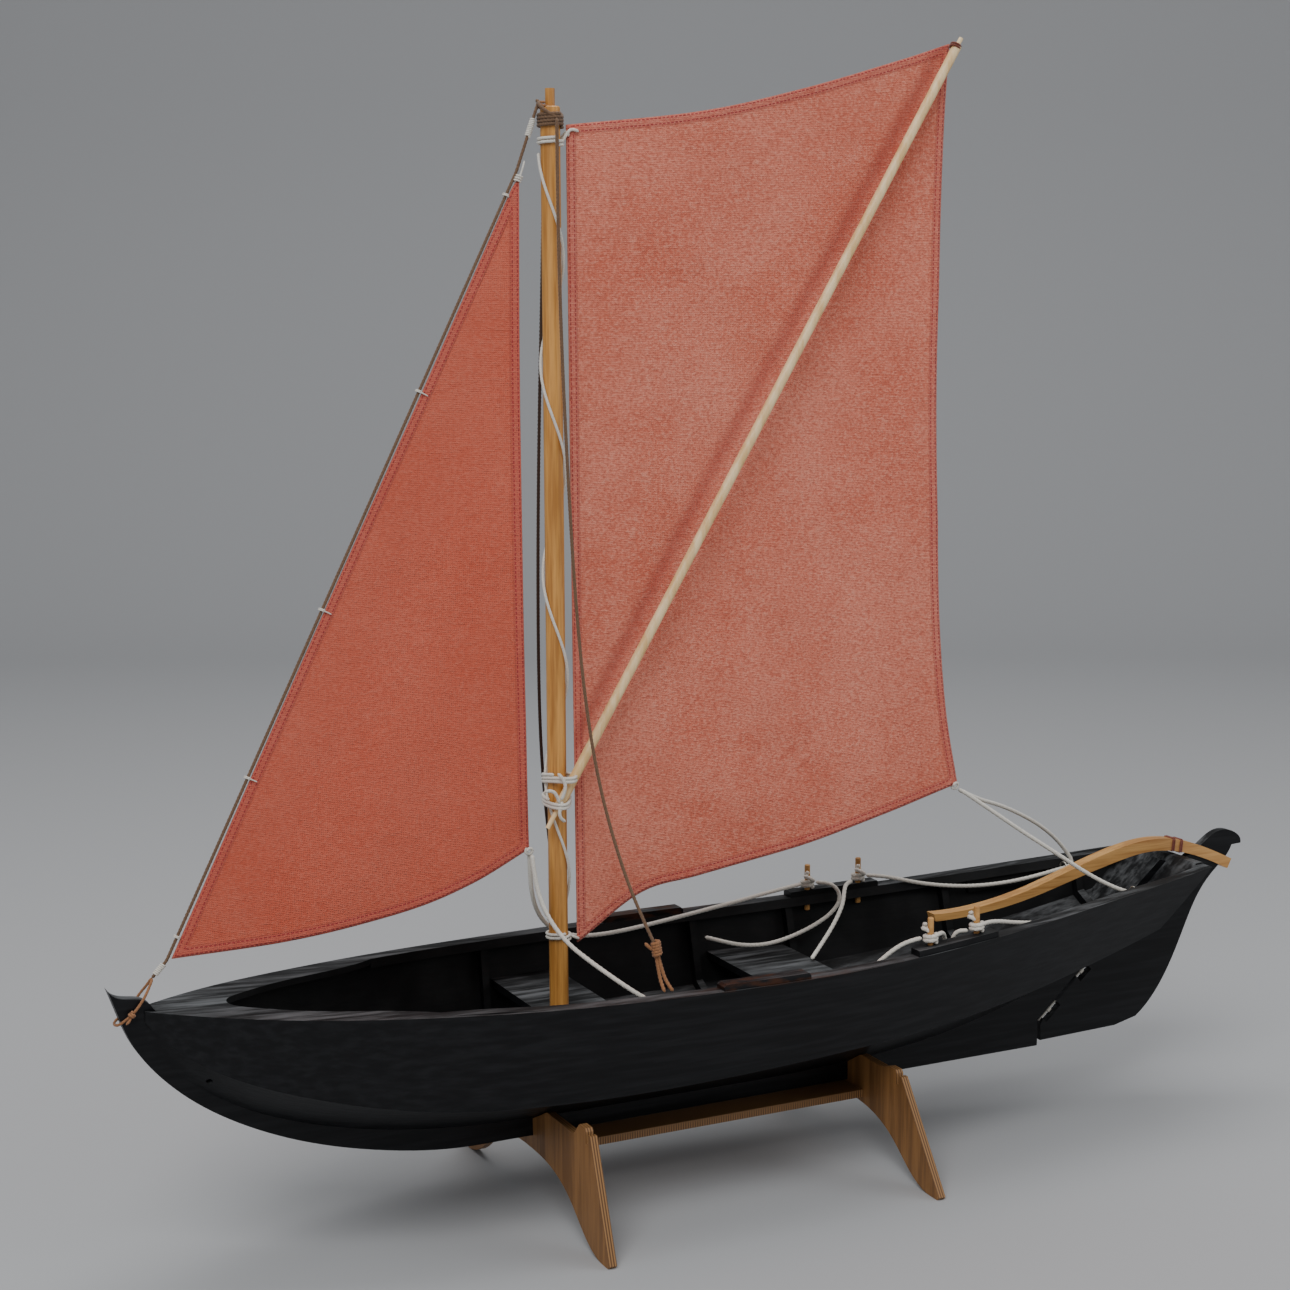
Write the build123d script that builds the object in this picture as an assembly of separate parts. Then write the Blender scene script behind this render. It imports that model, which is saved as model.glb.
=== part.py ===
from build123d import *
import math
import os

# A wooden display model of a small open sprit-rigged boat on a plywood stand.
# Millimetres. +X aft, -X bow, -Y port, +Y starboard, +Z up.
# Origin: on the table, on the centre plane, midway between bow tip and rudder head.

# ---- driving dimensions: hull ----
BOW_X = -397.0          # where the planks meet the stem
STERN_X = 362.0         # after end of the sheer, at the top of the transom
HALF_BEAM = 92.5        # at the sheer, amidships
KEEL_Z = 46.0           # underside of the keel above the table
RABBET_Z = 57.0         # where the bottom planks meet the keel amidships
SHEER_Z = 152.0         # lowest point of the sheer
PLANK = 3.0             # plank thickness
LAP = 4.0               # how far the side plank hangs below the chine
LAP_SHARE = 0.12        # but never more than this share of its width
KEEL_T = 8.0            # siding of keel, stem and skeg
KEEL_TOP = 5.0          # how far the keel stands inside above the rabbet
STEM_TIP = (-418.0, 178.0)
STEM_AFT_X = -190.0     # scarf between stem and keel
STEM_APRON = 12.0       # the stem stands this much further inside than the keel
SKEG_X = 100.0          # scarf between keel and skeg
SKEG_AFT_X = 237.0      # upright after face of the skeg
POST_FOOT = (238.0, 65.7)   # lower end of the raked post face
POST_RAKE = 41.4        # degrees above the horizontal
TRANSOM_T = 4.0
GLUE_GAP = 0.1          # between the transom's edges and the planks
TRANSOM_CROWN = 0.8     # how far the transom's top stands above the rail
KNEE_T = 7.0
SKEG_APEX = 63.0        # how far up the post the skeg reaches
KNEE_UP = (66.0, 150.0)     # the stern knee, along the post
ENVELOPE = 1.0          # inner pieces are first made this much too large, then cut to fit
INWALE_W = 8.0
INWALE_H = 6.0
INWALE_FWD_X = -236.0
INWALE_AFT_X = 356.0
HOLD_FWD_X = -240.0     # forward end of the room the frames, thwarts and transom fill
DECK_T = 4.0
DECK_FWD_X = -391.0
DECK_OPEN_X = -347.0    # forward end of the rounded opening in the foredeck
FRAME_T = 5.0
FRAME_DEPTH = 6.0
FRAME_X = (-152.0, 6.0, 80.0, 200.0, 304.0)
THWART_T = 5.0
MAST_THWART = (-146.0, -98.0, 125.0)    # forward edge, after edge, top
MIDDLE_THWART = (17.0, 73.0, 122.0)
PAD_H = 4.0
PAD_EDGE = 1.0          # the pads stand this far inside the outer edge
PIN_INSIDE = 8.4        # pin centre line, in from the outer edge
PIN_PLAY = 0.02
FORE_PAD = (-62.0, -1.0)
AFT_PAD = (82.0, 150.0)
PIN_X = (96.0, 135.0)
PIN_R = 2.0
PIN_LENGTH = 33.0
PIN_DROP = 11.0         # how far a pin reaches below the sheer
BLOCK = (219.0, 288.0)  # quarter block under the inwale
BLOCK_H = 9.0
BLOCK_T = 4.0
PAINTER_HOLE = (-362.0, 117.0)
PAINTER_HOLE_R = 1.75
EYE_X = 290.0           # sheet eyes hang inside the inwales
EYE_R = 4.0
EYE_DROP = 6.0
EYE_WIRE_R = 0.7

# ---- driving dimensions: rudder ----
RUDDER_T = 6.0
HINGE_GAP = 1.0
PINTLE_R = 1.0
PINTLE_PLAY = 0.05
GUDGEON_R = 2.2
GUDGEON_H = 3.0
TANG_R = 1.0
TANG_DEPTH = 5.0        # how deep a gudgeon is driven into the post
GUDGEON_AT = (11.0, 48.0)   # distance up the post from its foot
NOTCH_HALF = (8.0, 6.0)
NOTCH_DEPTH = 8.0
HEAD_UP = 140.0         # where the blade's straight front edge ends, up the post
TILLER_W = 9.0
NECK_PLAY = 0.2
BAND_H = 0.5
BAND_X = (354.0, 361.0)

# ---- driving dimensions: stand ----
PLY = 5.2
CRADLE_X = (-150.5, 82.5)
FOOT_HALF = 117.0
FOOT_W = 8.0
CRADLE_TOP = (90.5, 71.0)   # half width at the shoulders, forward and aft
SHOULDER_Z = (74.0, 68.0)
ARCH_Z = 37.0
SADDLE_Z = 68.5
STRETCHER_HALF = 24.0
STRETCHER_Z = 39.8
SEAT_PLAY = 0.3

# ---- driving dimensions: spars, sails and rigging ----
MAST_X = -132.0
MAST_R = 6.0
MAST_TOP = 696.0
MAST_HEAD = 10.5        # length of the reduced mast head
MAST_HEAD_R = 2.9
STEP_H = 9.0
STEP_SOCKET = 6.0
SPRIT_R = 3.1
SPRIT_HEEL = (-137.0, -10.2, 256.0)
SPRIT_PEAK = (155.0, -5.5, 733.0)
SPRIT_PIN_R = 1.5
SPRIT_PIN = 12.0
CLOTH = 1.2
MAIN_THROAT = (-121.5, 675.0)
MAIN_PEAK = (153.0, 735.0)
MAIN_CLEW = (168.0, 242.0)
MAIN_TACK = (-119.0, 167.0)
JIB_HEAD = (-153.5, 643.0)
JIB_TACK = (-379.0, 191.0)
JIB_CLEW = (-151.0, 231.0)
STAY_TOP = (-139.5, 688.0)
STAY_HEAD = (-154.6, 646.2)     # the jib's luff takes the stay from here
STAY_TACK = (-382.2, 190.0)     # down to here
STAY_FOOT = (-391.0, 181.0)
STAY_R = 0.9
WHIPPING_R = 2.0
ROBAND_AT = (0.03, 0.228, 0.439, 0.717, 0.97)
ROBAND_R = 0.45          # the thread round the stay
ROBAND_SLACK = 0.5       # so that the thread slides on the stay
SHROUD_R = 1.0
CORD_D = 3.0            # white sheets
LACING_R = 1.0
LACING_Z = (182.0, 658.0)
LACING_PITCH = 128.0
LACING_PHASE = 59.0     # degrees round from aft, at the lowest turn
LASHING_R = 1.1         # small lashings round the mast
COLLAR_T = 2.2
COLLAR_H = 5.0
SNOTTER_Z = (258.0, 271.0)

# ---- the hull's table of offsets ----
# Along: 0 at the bow, 1 at the stern. Breadths are shares of the half beam and
# heights are shares of the side's depth, from the rabbet up to the low sheer.
# Columns: along, sheer breadth, sheer height, chine breadth, chine height, rabbet height.
OFFSETS = (
    (0.000, 0.060, 1.115, 0.050, 1.050, 0.980),
    (0.022, 0.184, 1.105, 0.157, 0.885, 0.705),
    (0.068, 0.400, 1.085, 0.357, 0.705, 0.430),
    (0.128, 0.600, 1.060, 0.540, 0.563, 0.226),
    (0.194, 0.757, 1.040, 0.692, 0.463, 0.095),
    (0.286, 0.903, 1.017, 0.822, 0.410, 0.016),
    (0.418, 1.000, 1.000, 0.870, 0.400, 0.000),
    (0.576, 0.995, 1.000, 0.827, 0.432, 0.000),
    (0.721, 0.870, 1.042, 0.714, 0.510, 0.095),
    (0.839, 0.708, 1.105, 0.573, 0.652, 0.337),
    (0.945, 0.546, 1.168, 0.465, 0.842, 0.674),
    (1.000, 0.454, 1.205, 0.416, 0.968, 0.874),
)


def column(x, number):
    """A smooth curve through one column of the table of offsets."""
    along = (x - BOW_X) / (STERN_X - BOW_X)
    rows = OFFSETS
    i = max(n for n, row in enumerate(rows[:-1]) if row[0] <= max(along, 0.0))
    first, low, high, last = rows[max(i - 1, 0)], rows[i], rows[i + 1], rows[min(i + 2, len(rows) - 1)]
    span = high[0] - low[0]
    slope_low = (high[number] - first[number]) / (high[0] - first[0]) * span
    slope_high = (last[number] - low[number]) / (last[0] - low[0]) * span
    t = (along - low[0]) / span
    rise = high[number] - low[number]
    bend = 3 * rise - 2 * slope_low - slope_high
    twist = slope_low + slope_high - 2 * rise
    return low[number] + slope_low * t + bend * t**2 + twist * t**3


def height(share):
    return RABBET_Z + share * (SHEER_Z - RABBET_Z)


def sheer(x):
    return column(x, 1) * HALF_BEAM, height(column(x, 2))


def chine(x):
    return column(x, 3) * HALF_BEAM, height(column(x, 4))


def rabbet(x):
    return KEEL_T / 2, height(column(x, 5))


def inset(line, depth):
    """Move a line (two points in Y, Z) towards the inside of the starboard half."""
    (y1, z1), (y2, z2) = line
    length = math.hypot(y2 - y1, z2 - z1)
    step_y = (z2 - z1) / length * depth
    step_z = -(y2 - y1) / length * depth
    return (y1 + step_y, z1 + step_z), (y2 + step_y, z2 + step_z)


def crossing(first, second):
    (y1, z1), (y2, z2) = first
    (y3, z3), (y4, z4) = second
    a1, b1 = z2 - z1, y1 - y2
    a2, b2 = z4 - z3, y3 - y4
    c1, c2 = a1 * y1 + b1 * z1, a2 * y3 + b2 * z3
    d = a1 * b2 - a2 * b1
    return (b2 * c1 - b1 * c2) / d, (a1 * c2 - a2 * c1) / d


def level(z):
    return (0.0, z), (1.0, z)


def section_lines(x):
    side = (sheer(x), chine(x))
    seam = inset(side, PLANK)[1]
    bottom = (seam, rabbet(x))
    return side, bottom


def side_section(x):
    side, bottom = section_lines(x)
    top, low = side
    length = math.hypot(low[0] - top[0], low[1] - top[1])
    lap = min(LAP, LAP_SHARE * length)
    foot = (low[0] + (low[0] - top[0]) / length * lap, low[1] + (low[1] - top[1]) / length * lap)
    inner = inset(side, PLANK)
    inner_foot = inset((top, foot), PLANK)[1]
    return [top, foot, inner_foot, crossing(inner, level(top[1]))]


def bottom_section(x):
    side, bottom = section_lines(x)
    inner_side = inset(side, PLANK)
    inner_bottom = inset(bottom, PLANK)
    edge = ((KEEL_T / 2, 0.0), (KEEL_T / 2, 1.0))
    return [bottom[0], bottom[1], crossing(inner_bottom, edge), crossing(inner_bottom, inner_side)]


def hold_section(x, depth):
    """The hull's inside, drawn in by depth from the planks' inner faces."""
    side, bottom = section_lines(x)
    inner_side = inset(side, PLANK + depth)
    inner_bottom = inset(bottom, PLANK + depth)
    top = crossing(inner_side, level(side[0][1]))
    bilge = crossing(inner_bottom, inner_side)
    floor = crossing(inner_bottom, ((1.0, 0.0), (1.0, 1.0)))
    half = [top, bilge, floor]
    return half + [(-y, z) for y, z in reversed(half)]


def face_at(x, points):
    return Face(Wire.make_polygon([Vector(x, y, z) for y, z in points], close=True))


def stations(start, end, count):
    return [start + (end - start) * i / (count - 1) for i in range(count)]


def loft_through(section, xs):
    return loft([face_at(x, section(x)) for x in xs])


def outline_xz(points, thickness, centre_y=0.0):
    """A flat piece in the centre plane, cut to a polygon in X, Z."""
    wire = Wire.make_polygon([Vector(x, centre_y - thickness / 2, z) for x, z in points], close=True)
    return extrude(Face(wire), amount=thickness, dir=(0, 1, 0))


def solid_of_wire(edges, thickness, centre_y=0.0):
    """A flat piece in the centre plane, bounded by edges drawn at Y = 0."""
    face = Face(Wire(edges))
    return Pos(0, centre_y - thickness / 2, 0) * extrude(face, amount=thickness, dir=(0, 1, 0))


def curve_xz(points, tangents=None):
    return Spline([Vector(x, 0, z) for x, z in points], tangents=tangents)


def line_xz(first, second):
    return Line(Vector(first[0], 0, first[1]), Vector(second[0], 0, second[1]))


def save(name, shape):
    shape.label = name
    export_step(shape, f"parts/{name}.step")


def group(solids):
    return Compound(children=list(solids))


# ---- the raked post line and everything placed along it ----
RAKE = math.radians(POST_RAKE)
UP_POST = (math.cos(RAKE), math.sin(RAKE))
OFF_POST = (math.sin(RAKE), -math.cos(RAKE))
HINGE_OFF = HINGE_GAP + RUDDER_T / 2


def on_post(up, off):
    return (POST_FOOT[0] + UP_POST[0] * up + OFF_POST[0] * off,
            POST_FOOT[1] + UP_POST[1] * up + OFF_POST[1] * off)


def post_plane(up, off, y=0.0):
    """A plane whose normal runs up the post."""
    x, z = on_post(up, off)
    return Plane(origin=(x, y, z), x_dir=(0, 1, 0), z_dir=(UP_POST[0], 0, UP_POST[1]))


def post_rod(up_from, up_to, off, radius):
    return extrude(post_plane(up_from, off) * Circle(radius), amount=up_to - up_from)


def aft_of_post(off=0.0):
    """Everything abaft the post face, as a cutting block."""
    far = 400.0
    corners = [on_post(-far, off), on_post(far, off), on_post(far, off + far), on_post(-far, off + far)]
    return outline_xz(corners, far)


# ---- hull ----
def make_keel():
    bottom = [(STEM_AFT_X, KEEL_Z), (SKEG_X, KEEL_Z)]
    top = [(x, rabbet(x)[1] + KEEL_TOP) for x in stations(SKEG_X, STEM_AFT_X, 6)]
    return outline_xz(bottom + top, KEEL_T)


def make_stem():
    tip = STEM_TIP
    front = curve_xz(
        [(STEM_AFT_X, KEEL_Z), (-251.0, 53.0), (-304.0, 68.0), (-343.0, 86.0), (-380.0, 112.5), (-404.0, 142.0), tip],
        tangents=[Vector(-1, 0, 0), Vector(-0.35, 0, 0.94)])
    notch = (BOW_X + 5.0, sheer(BOW_X)[1] + 1.0)
    beak = curve_xz([tip, (-409.0, 171.6), (-399.0, 169.8), notch])
    inner = [(x, rabbet(x)[1] + KEEL_TOP + STEM_APRON) for x in (-380.0, -350.0, -300.0, -250.0)]
    back = [notch, (notch[0] + 6.0, sheer(BOW_X)[1] - DECK_T - 1.0)] + inner
    back.append((STEM_AFT_X, rabbet(STEM_AFT_X)[1] + KEEL_TOP))
    edges = [front, beak]
    edges += [line_xz(a, b) for a, b in zip(back, back[1:])]
    edges.append(line_xz(back[-1], (STEM_AFT_X, KEEL_Z)))
    stem = solid_of_wire(edges, KEEL_T)
    return stem - painter_hole()


def painter_hole():
    x, z = PAINTER_HOLE
    return Pos(x, 0, z) * Rot(90, 0, 0) * Cylinder(PAINTER_HOLE_R, 2 * HALF_BEAM)


def make_skeg():
    top = [(x, rabbet(x)[1] + KEEL_TOP) for x in stations(270.0, SKEG_X, 6)]
    corners = [(SKEG_X, KEEL_Z), (SKEG_AFT_X, KEEL_Z), (SKEG_AFT_X, POST_FOOT[1] - 1.0), on_post(0, 0)]
    corners += [on_post(SKEG_APEX, 0), on_post(SKEG_APEX, -TRANSOM_T)]
    return outline_xz(corners + top, KEEL_T)


def make_hold(depth, start):
    xs = stations(start, STERN_X, 14)
    return loft_through(lambda x: hold_section(x, depth), xs)


def mirrored(solid):
    return mirror(solid, about=Plane.XZ)


centre_slab = Box(1200, KEEL_T, 600)
after_cut = aft_of_post()
hull_xs = [BOW_X + (STERN_X - BOW_X) * row[0] for row in OFFSETS]

side_starboard = loft_through(side_section, hull_xs) - centre_slab - after_cut
bottom_starboard = loft_through(bottom_section, hull_xs) - centre_slab - after_cut
bottom_starboard = bottom_starboard - side_starboard - painter_hole()
planking = [side_starboard, bottom_starboard, mirrored(side_starboard), mirrored(bottom_starboard)]
hold = make_hold(-ENVELOPE, HOLD_FWD_X)
frame_hold = make_hold(FRAME_DEPTH, FRAME_X[0] - 2 * FRAME_T)


def band(x_from, x_to, below, above):
    """A full-width slice that follows the sheer, from below it to above it."""
    def section(x):
        y, z = sheer(x)
        wide = y + PLANK
        return [(-wide, z - below), (wide, z - below), (wide, z + above), (-wide, z + above)]
    return loft_through(section, stations(x_from, x_to, 4))


keel = make_keel()
stem = make_stem()
skeg = make_skeg()
backbone = keel + stem + skeg

knee_low, knee_high = KNEE_UP
stern_knee = outline_xz(
    [on_post(knee_low, -TRANSOM_T), on_post(knee_high, -TRANSOM_T), on_post(knee_high - 3, -TRANSOM_T - KNEE_T + 2),
     on_post(knee_low + KNEE_T, -TRANSOM_T - KNEE_T)], KEEL_T) & hold
stern_knee = stern_knee - skeg - planking


def make_transom():
    plate = aft_of_post(-TRANSOM_T) - aft_of_post()
    snug = plate & make_hold(GLUE_GAP, SKEG_AFT_X)
    sheer_y, sheer_z = sheer(INWALE_AFT_X)
    cap_top = sheer_z + TRANSOM_CROWN
    cap_half = sheer_y - PLANK - INWALE_W
    cap = Pos(0, 0, cap_top - TRANSOM_CROWN) * Box(4 * STERN_X, 2 * cap_half, 2 * TRANSOM_CROWN)
    return snug + (plate & cap) - skeg


transom = make_transom()


def make_foredeck():
    def section(x):
        top = sheer(x)[1]
        inner = inset((sheer(x), chine(x)), PLANK - ENVELOPE)
        high_y = crossing(inner, level(top))[0]
        low_y = crossing(inner, level(top - DECK_T))[0]
        return [(high_y, top), (low_y, top - DECK_T), (-low_y, top - DECK_T), (-high_y, top)]
    plate = loft_through(section, stations(DECK_FWD_X, INWALE_FWD_X, 8)) - stem
    side_y = sheer(INWALE_FWD_X)[0] - PLANK - INWALE_W
    rim = [(INWALE_FWD_X, side_y), (-262.0, 48.5), (-288.0, 39.5), (-314.0, 28.5), (-334.0, 16.5), (-344.0, 8.5)]
    points = rim + [(DECK_OPEN_X, 0.0)] + [(x, -y) for x, y in reversed(rim)]
    edge = Spline([Vector(x, y, 0) for x, y in points])
    past_x = INWALE_FWD_X + INWALE_W
    closing = Polyline((INWALE_FWD_X, -side_y, 0), (past_x, -side_y, 0), (past_x, side_y, 0),
                       (INWALE_FWD_X, side_y, 0))
    opening = extrude(Face(Wire([edge] + closing.edges())), amount=2 * SHEER_Z)
    return plate - opening - planking


def make_inwale():
    def section(x):
        y, z = side_section(x)[3]
        low = z - INWALE_H
        inner = crossing(inset((sheer(x), chine(x)), PLANK), level(low))[0]
        return [(y + ENVELOPE, z), (inner + ENVELOPE, low), (inner - INWALE_W, low), (y - INWALE_W, z)]
    rail = loft_through(section, stations(INWALE_FWD_X, INWALE_AFT_X, 10)) - aft_of_post(-TRANSOM_T)
    for plank in planking:
        rail = rail - plank
    return rail


def rail_path(x, inside):
    """The starboard rail's top at x, a given distance inside the outer edge."""
    y, z = sheer(x)
    return y - inside, z


def pin_place(x):
    y, z = rail_path(x, PIN_INSIDE)
    return x, y, z


def make_pin(x):
    px, py, pz = pin_place(x)
    low = pz - PIN_DROP
    shank = Pos(px, py, low + PIN_LENGTH / 2) * Cylinder(PIN_R, PIN_LENGTH)
    return chamfer(shank.edges(), 0.5)


def make_pad(start, end):
    def section(x):
        y, z = rail_path(x, PAD_EDGE)
        wide = PLANK + INWALE_W - PAD_EDGE
        low = z - ENVELOPE
        return [(y, low), (y - wide, low), (y - wide, z + PAD_H), (y, z + PAD_H)]
    pad = loft_through(section, stations(start, end, 4))
    ends = pad.faces().filter_by(Axis.X)
    tops = [e for f in ends for e in f.edges() if e.center().Z > pad.center().Z + PAD_H / 3]
    return chamfer(tops, 1.5)


def make_eye():
    y, z = rail_path(EYE_X, PLANK + INWALE_W)
    ring_y = y - EYE_R - 1.0
    ring = Pos(EYE_X, ring_y, z - EYE_DROP) * Rot(0, 90, 0) * Torus(EYE_R, EYE_WIRE_R)
    rise = rod_between((EYE_X, ring_y + EYE_R, z - EYE_DROP), (EYE_X, y + EYE_R / 2, z - INWALE_H / 2), EYE_WIRE_R)
    return ring + rise


def rod_between(start, end, radius):
    start, end = Vector(*start), Vector(*end)
    plane = Plane(origin=start, z_dir=end - start)
    return extrude(plane * Circle(radius), amount=(end - start).length)


eye = make_eye()
inwale_starboard = make_inwale() - eye
pins = [make_pin(x) for x in PIN_X]
pin_holes = [Pos(*pin_place(x)) * Cylinder(PIN_R + PIN_PLAY, 2 * PIN_LENGTH) for x in PIN_X]
fore_pad = make_pad(*FORE_PAD) - inwale_starboard - side_starboard
aft_pad = make_pad(*AFT_PAD) - inwale_starboard - side_starboard - pin_holes
inwale_starboard = inwale_starboard - pin_holes


def make_frame(x):
    rail_under = sheer(x)[1] - INWALE_H - 2 * SEAT_PLAY
    slab = Pos(x, 0, rail_under / 2) * Box(FRAME_T, 3 * HALF_BEAM, rail_under)
    shell = slab & hold
    for plank in planking:
        shell = shell - plank
    return shell - (slab & frame_hold) - backbone - aft_of_post(-TRANSOM_T)


def make_block():
    def section(x):
        side, bottom = section_lines(x)
        inner = inset(side, PLANK - ENVELOPE)
        top = side[0][1] - INWALE_H
        upper = crossing(inner, level(top))
        lower = crossing(inner, level(top - BLOCK_H))
        wide = BLOCK_T + ENVELOPE
        return [upper, lower, (lower[0] - wide, lower[1]), (upper[0] - wide, upper[1])]
    return loft_through(section, stations(BLOCK[0], BLOCK[1], 4)) - side_starboard - inwale_starboard


frames = [make_frame(x) for x in FRAME_X]
quarter_block = make_block()


def make_thwart(fore, aft, top):
    board = Pos((fore + aft) / 2, 0, top - THWART_T / 2) * Box(aft - fore, 400, THWART_T)
    return (board & hold) - planking


mast_hole = Pos(MAST_X, 0, 300) * Cylinder(MAST_R + 0.05, 700)
mast_thwart = make_thwart(*MAST_THWART) - mast_hole - frames[0]
middle_thwart = make_thwart(*MIDDLE_THWART) - frames[1] - frames[2]

step_foot = rabbet(MAST_X)[1] + KEEL_TOP
step_socket = Pos(MAST_X, 0, step_foot + STEP_H - STEP_SOCKET / 2) * Cylinder(MAST_R + 0.05, STEP_SOCKET)
mast_step = Pos(MAST_X, 0, step_foot + STEP_H / 2) * Box(30, 16, STEP_H) - step_socket
mast_step = mast_step - keel - planking


# ---- rudder and its hinge ----
def make_gudgeon(up):
    bore = PINTLE_R + PINTLE_PLAY
    root, tip = on_post(up, -TANG_DEPTH), on_post(up, HINGE_OFF)
    tang = rod_between((root[0], 0, root[1]), (tip[0], 0, tip[1]), TANG_R)
    eye_plate = post_rod(up - GUDGEON_H / 2, up + GUDGEON_H / 2, HINGE_OFF, GUDGEON_R)
    return (eye_plate + tang) - post_rod(up - 5, up + 5, HINGE_OFF, bore)


def make_pintle(up, half):
    return post_rod(up - half - 3.0, up + half + 3.0, HINGE_OFF, PINTLE_R)


def blade_plate(thickness):
    foot = (SKEG_AFT_X + 3.5, 49.0)
    low = (306.0, 50.5)
    heel = on_post(3.0, HINGE_OFF)
    throat = on_post(HEAD_UP, HINGE_OFF)
    turn = (325.0, 54.8)
    tip = (409.0, 173.2)
    after = curve_xz([turn, (347.7, 79.0), (366.4, 115.0), (381.0, 142.6), (394.0, 156.6), (404.8, 166.4), tip])
    curl = curve_xz([(417.3, 173.6), (417.0, 177.0), (412.5, 181.6), (406.5, 184.4), (395.0, 184.4), (387.0, 180.5),
                     (379.7, 175.5)])
    front = [(379.7, 175.5), throat, heel, (foot[0], heel[1] - 4.0), foot, low, turn]
    edges = [after, line_xz(tip, (417.3, 173.6)), curl] + [line_xz(a, b) for a, b in zip(front, front[1:])]
    return solid_of_wire(edges, thickness)


def make_blade():
    blade = blade_plate(RUDDER_T) + post_rod(3.0, HEAD_UP, HINGE_OFF, RUDDER_T / 2)
    for up, half in zip(GUDGEON_AT, NOTCH_HALF):
        x, z = on_post(up, NOTCH_DEPTH / 2 - 2.0)
        notch = Pos(x, 0, z) * Rot(0, -POST_RAKE, 0) * Box(2 * half, 20, NOTCH_DEPTH + 4.0)
        blade = blade - notch
    for up, half in zip(GUDGEON_AT, NOTCH_HALF):
        blade = blade - make_pintle(up, half)
    return blade


TILLER_TOP = ((148.0, 153.0), (187.0, 153.8), (224.0, 160.0), (265.0, 171.5), (300.0, 181.0),
              (330.0, 185.3), (352.0, 183.8), (378.0, 176.3), (408.0, 163.0))
TILLER_LOW = ((404.5, 156.0), (376.0, 168.5), (352.0, 175.0), (330.0, 176.4), (305.0, 172.8),
              (265.0, 163.5), (224.0, 153.8), (187.0, 148.8), (149.5, 147.8))


def tiller_bar(width):
    edges = [curve_xz(TILLER_TOP), line_xz(TILLER_TOP[-1], TILLER_LOW[0])]
    edges += [curve_xz(TILLER_LOW), line_xz(TILLER_LOW[-1], TILLER_TOP[0])]
    return solid_of_wire(edges, width)


def make_band(x):
    """A dark red cord band let round the tiller."""
    slab = Pos(x, 0, 180) * Box(3.0, 30, 60)
    outer = offset(tiller_bar(TILLER_W) & slab, amount=BAND_H)
    return (outer & slab) - tiller_bar(TILLER_W)


gudgeons = [make_gudgeon(up) for up in GUDGEON_AT]
skeg = skeg - gudgeons
blade = make_blade()
tiller = tiller_bar(TILLER_W) - blade_plate(RUDDER_T + 2 * NECK_PLAY)
bands = [make_band(x) for x in BAND_X]


# ---- stand ----
def make_cradle(x, top_half, shoulder):
    slope = (chine(x)[1] - rabbet(x)[1]) / (chine(x)[0] - KEEL_T / 2)
    slot_half = KEEL_T / 2 + SEAT_PLAY
    slot_top = rabbet(x)[1] - SEAT_PLAY
    flank_half = slot_half + (SADDLE_Z - slot_top) / slope
    horn = [(flank_half, SADDLE_Z), (top_half - 23.0, SADDLE_Z), (top_half - 15.0, shoulder + 3.0)]
    horn += [(top_half - 7.0, shoulder + 3.0), (top_half - 5.5, shoulder + 1.0), (top_half - 5.5, shoulder - 6.0)]
    horn += [(top_half - 3.0, shoulder - 6.0), (top_half - 3.0, shoulder), (top_half, shoulder)]
    outer = [(FOOT_HALF, 2.0), (FOOT_HALF - 2.0, 0.0), (FOOT_HALF - FOOT_W, 0.0)]
    seat = [(slot_half, KEEL_Z - SEAT_PLAY), (slot_half, slot_top)]
    half = seat + horn + outer
    arch = [(0.0, ARCH_Z), (32.0, 0.94 * ARCH_Z), (60.0, 0.66 * ARCH_Z), (84.0, 0.2 * ARCH_Z)]
    arch_end = (FOOT_HALF - FOOT_W, 0.0)
    points = [Vector(x, y, z) for y, z in half]
    left = [Vector(x, -y, z) for y, z in reversed(half)]
    under = [Vector(x, -arch_end[0], arch_end[1])] + [Vector(x, -y, z) for y, z in reversed(arch[1:])]
    under += [Vector(x, y, z) for y, z in arch] + [Vector(x, arch_end[0], arch_end[1])]
    edges = Polyline(*left, *points).edges()
    edges += Spline(under).edges()
    board = extrude(Face(Wire(edges)), amount=PLY, dir=(1, 0, 0))
    return Pos(-PLY / 2, 0, 0) * board


cradles = [make_cradle(*values) for values in zip(CRADLE_X, CRADLE_TOP, SHOULDER_Z)]
stretcher_length = CRADLE_X[1] - CRADLE_X[0] - PLY
stretcher = Pos(sum(CRADLE_X) / 2, 0, STRETCHER_Z + PLY / 2) * Box(stretcher_length, 2 * STRETCHER_HALF, PLY)


# ---- mast, sprit and sails ----
def make_mast():
    foot = step_foot + STEP_H - STEP_SOCKET
    shoulder = MAST_TOP - MAST_HEAD
    lower = Pos(MAST_X, 0, (foot + shoulder) / 2) * Cylinder(MAST_R, shoulder - foot)
    lower = chamfer(lower.edges(), 0.8)
    head = Pos(MAST_X, 0, shoulder + MAST_HEAD / 2) * Cylinder(MAST_HEAD_R, MAST_HEAD)
    return lower + head


def make_sprit():
    heel, peak = Vector(*SPRIT_HEEL), Vector(*SPRIT_PEAK)
    along = (peak - heel).normalized()
    shaft = rod_between(SPRIT_HEEL, SPRIT_PEAK, SPRIT_R)
    low = heel - along * SPRIT_PIN
    high = peak + along * (SPRIT_PIN / 2)
    return shaft + rod_between(tuple(low), tuple(high), SPRIT_PIN_R)


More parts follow.
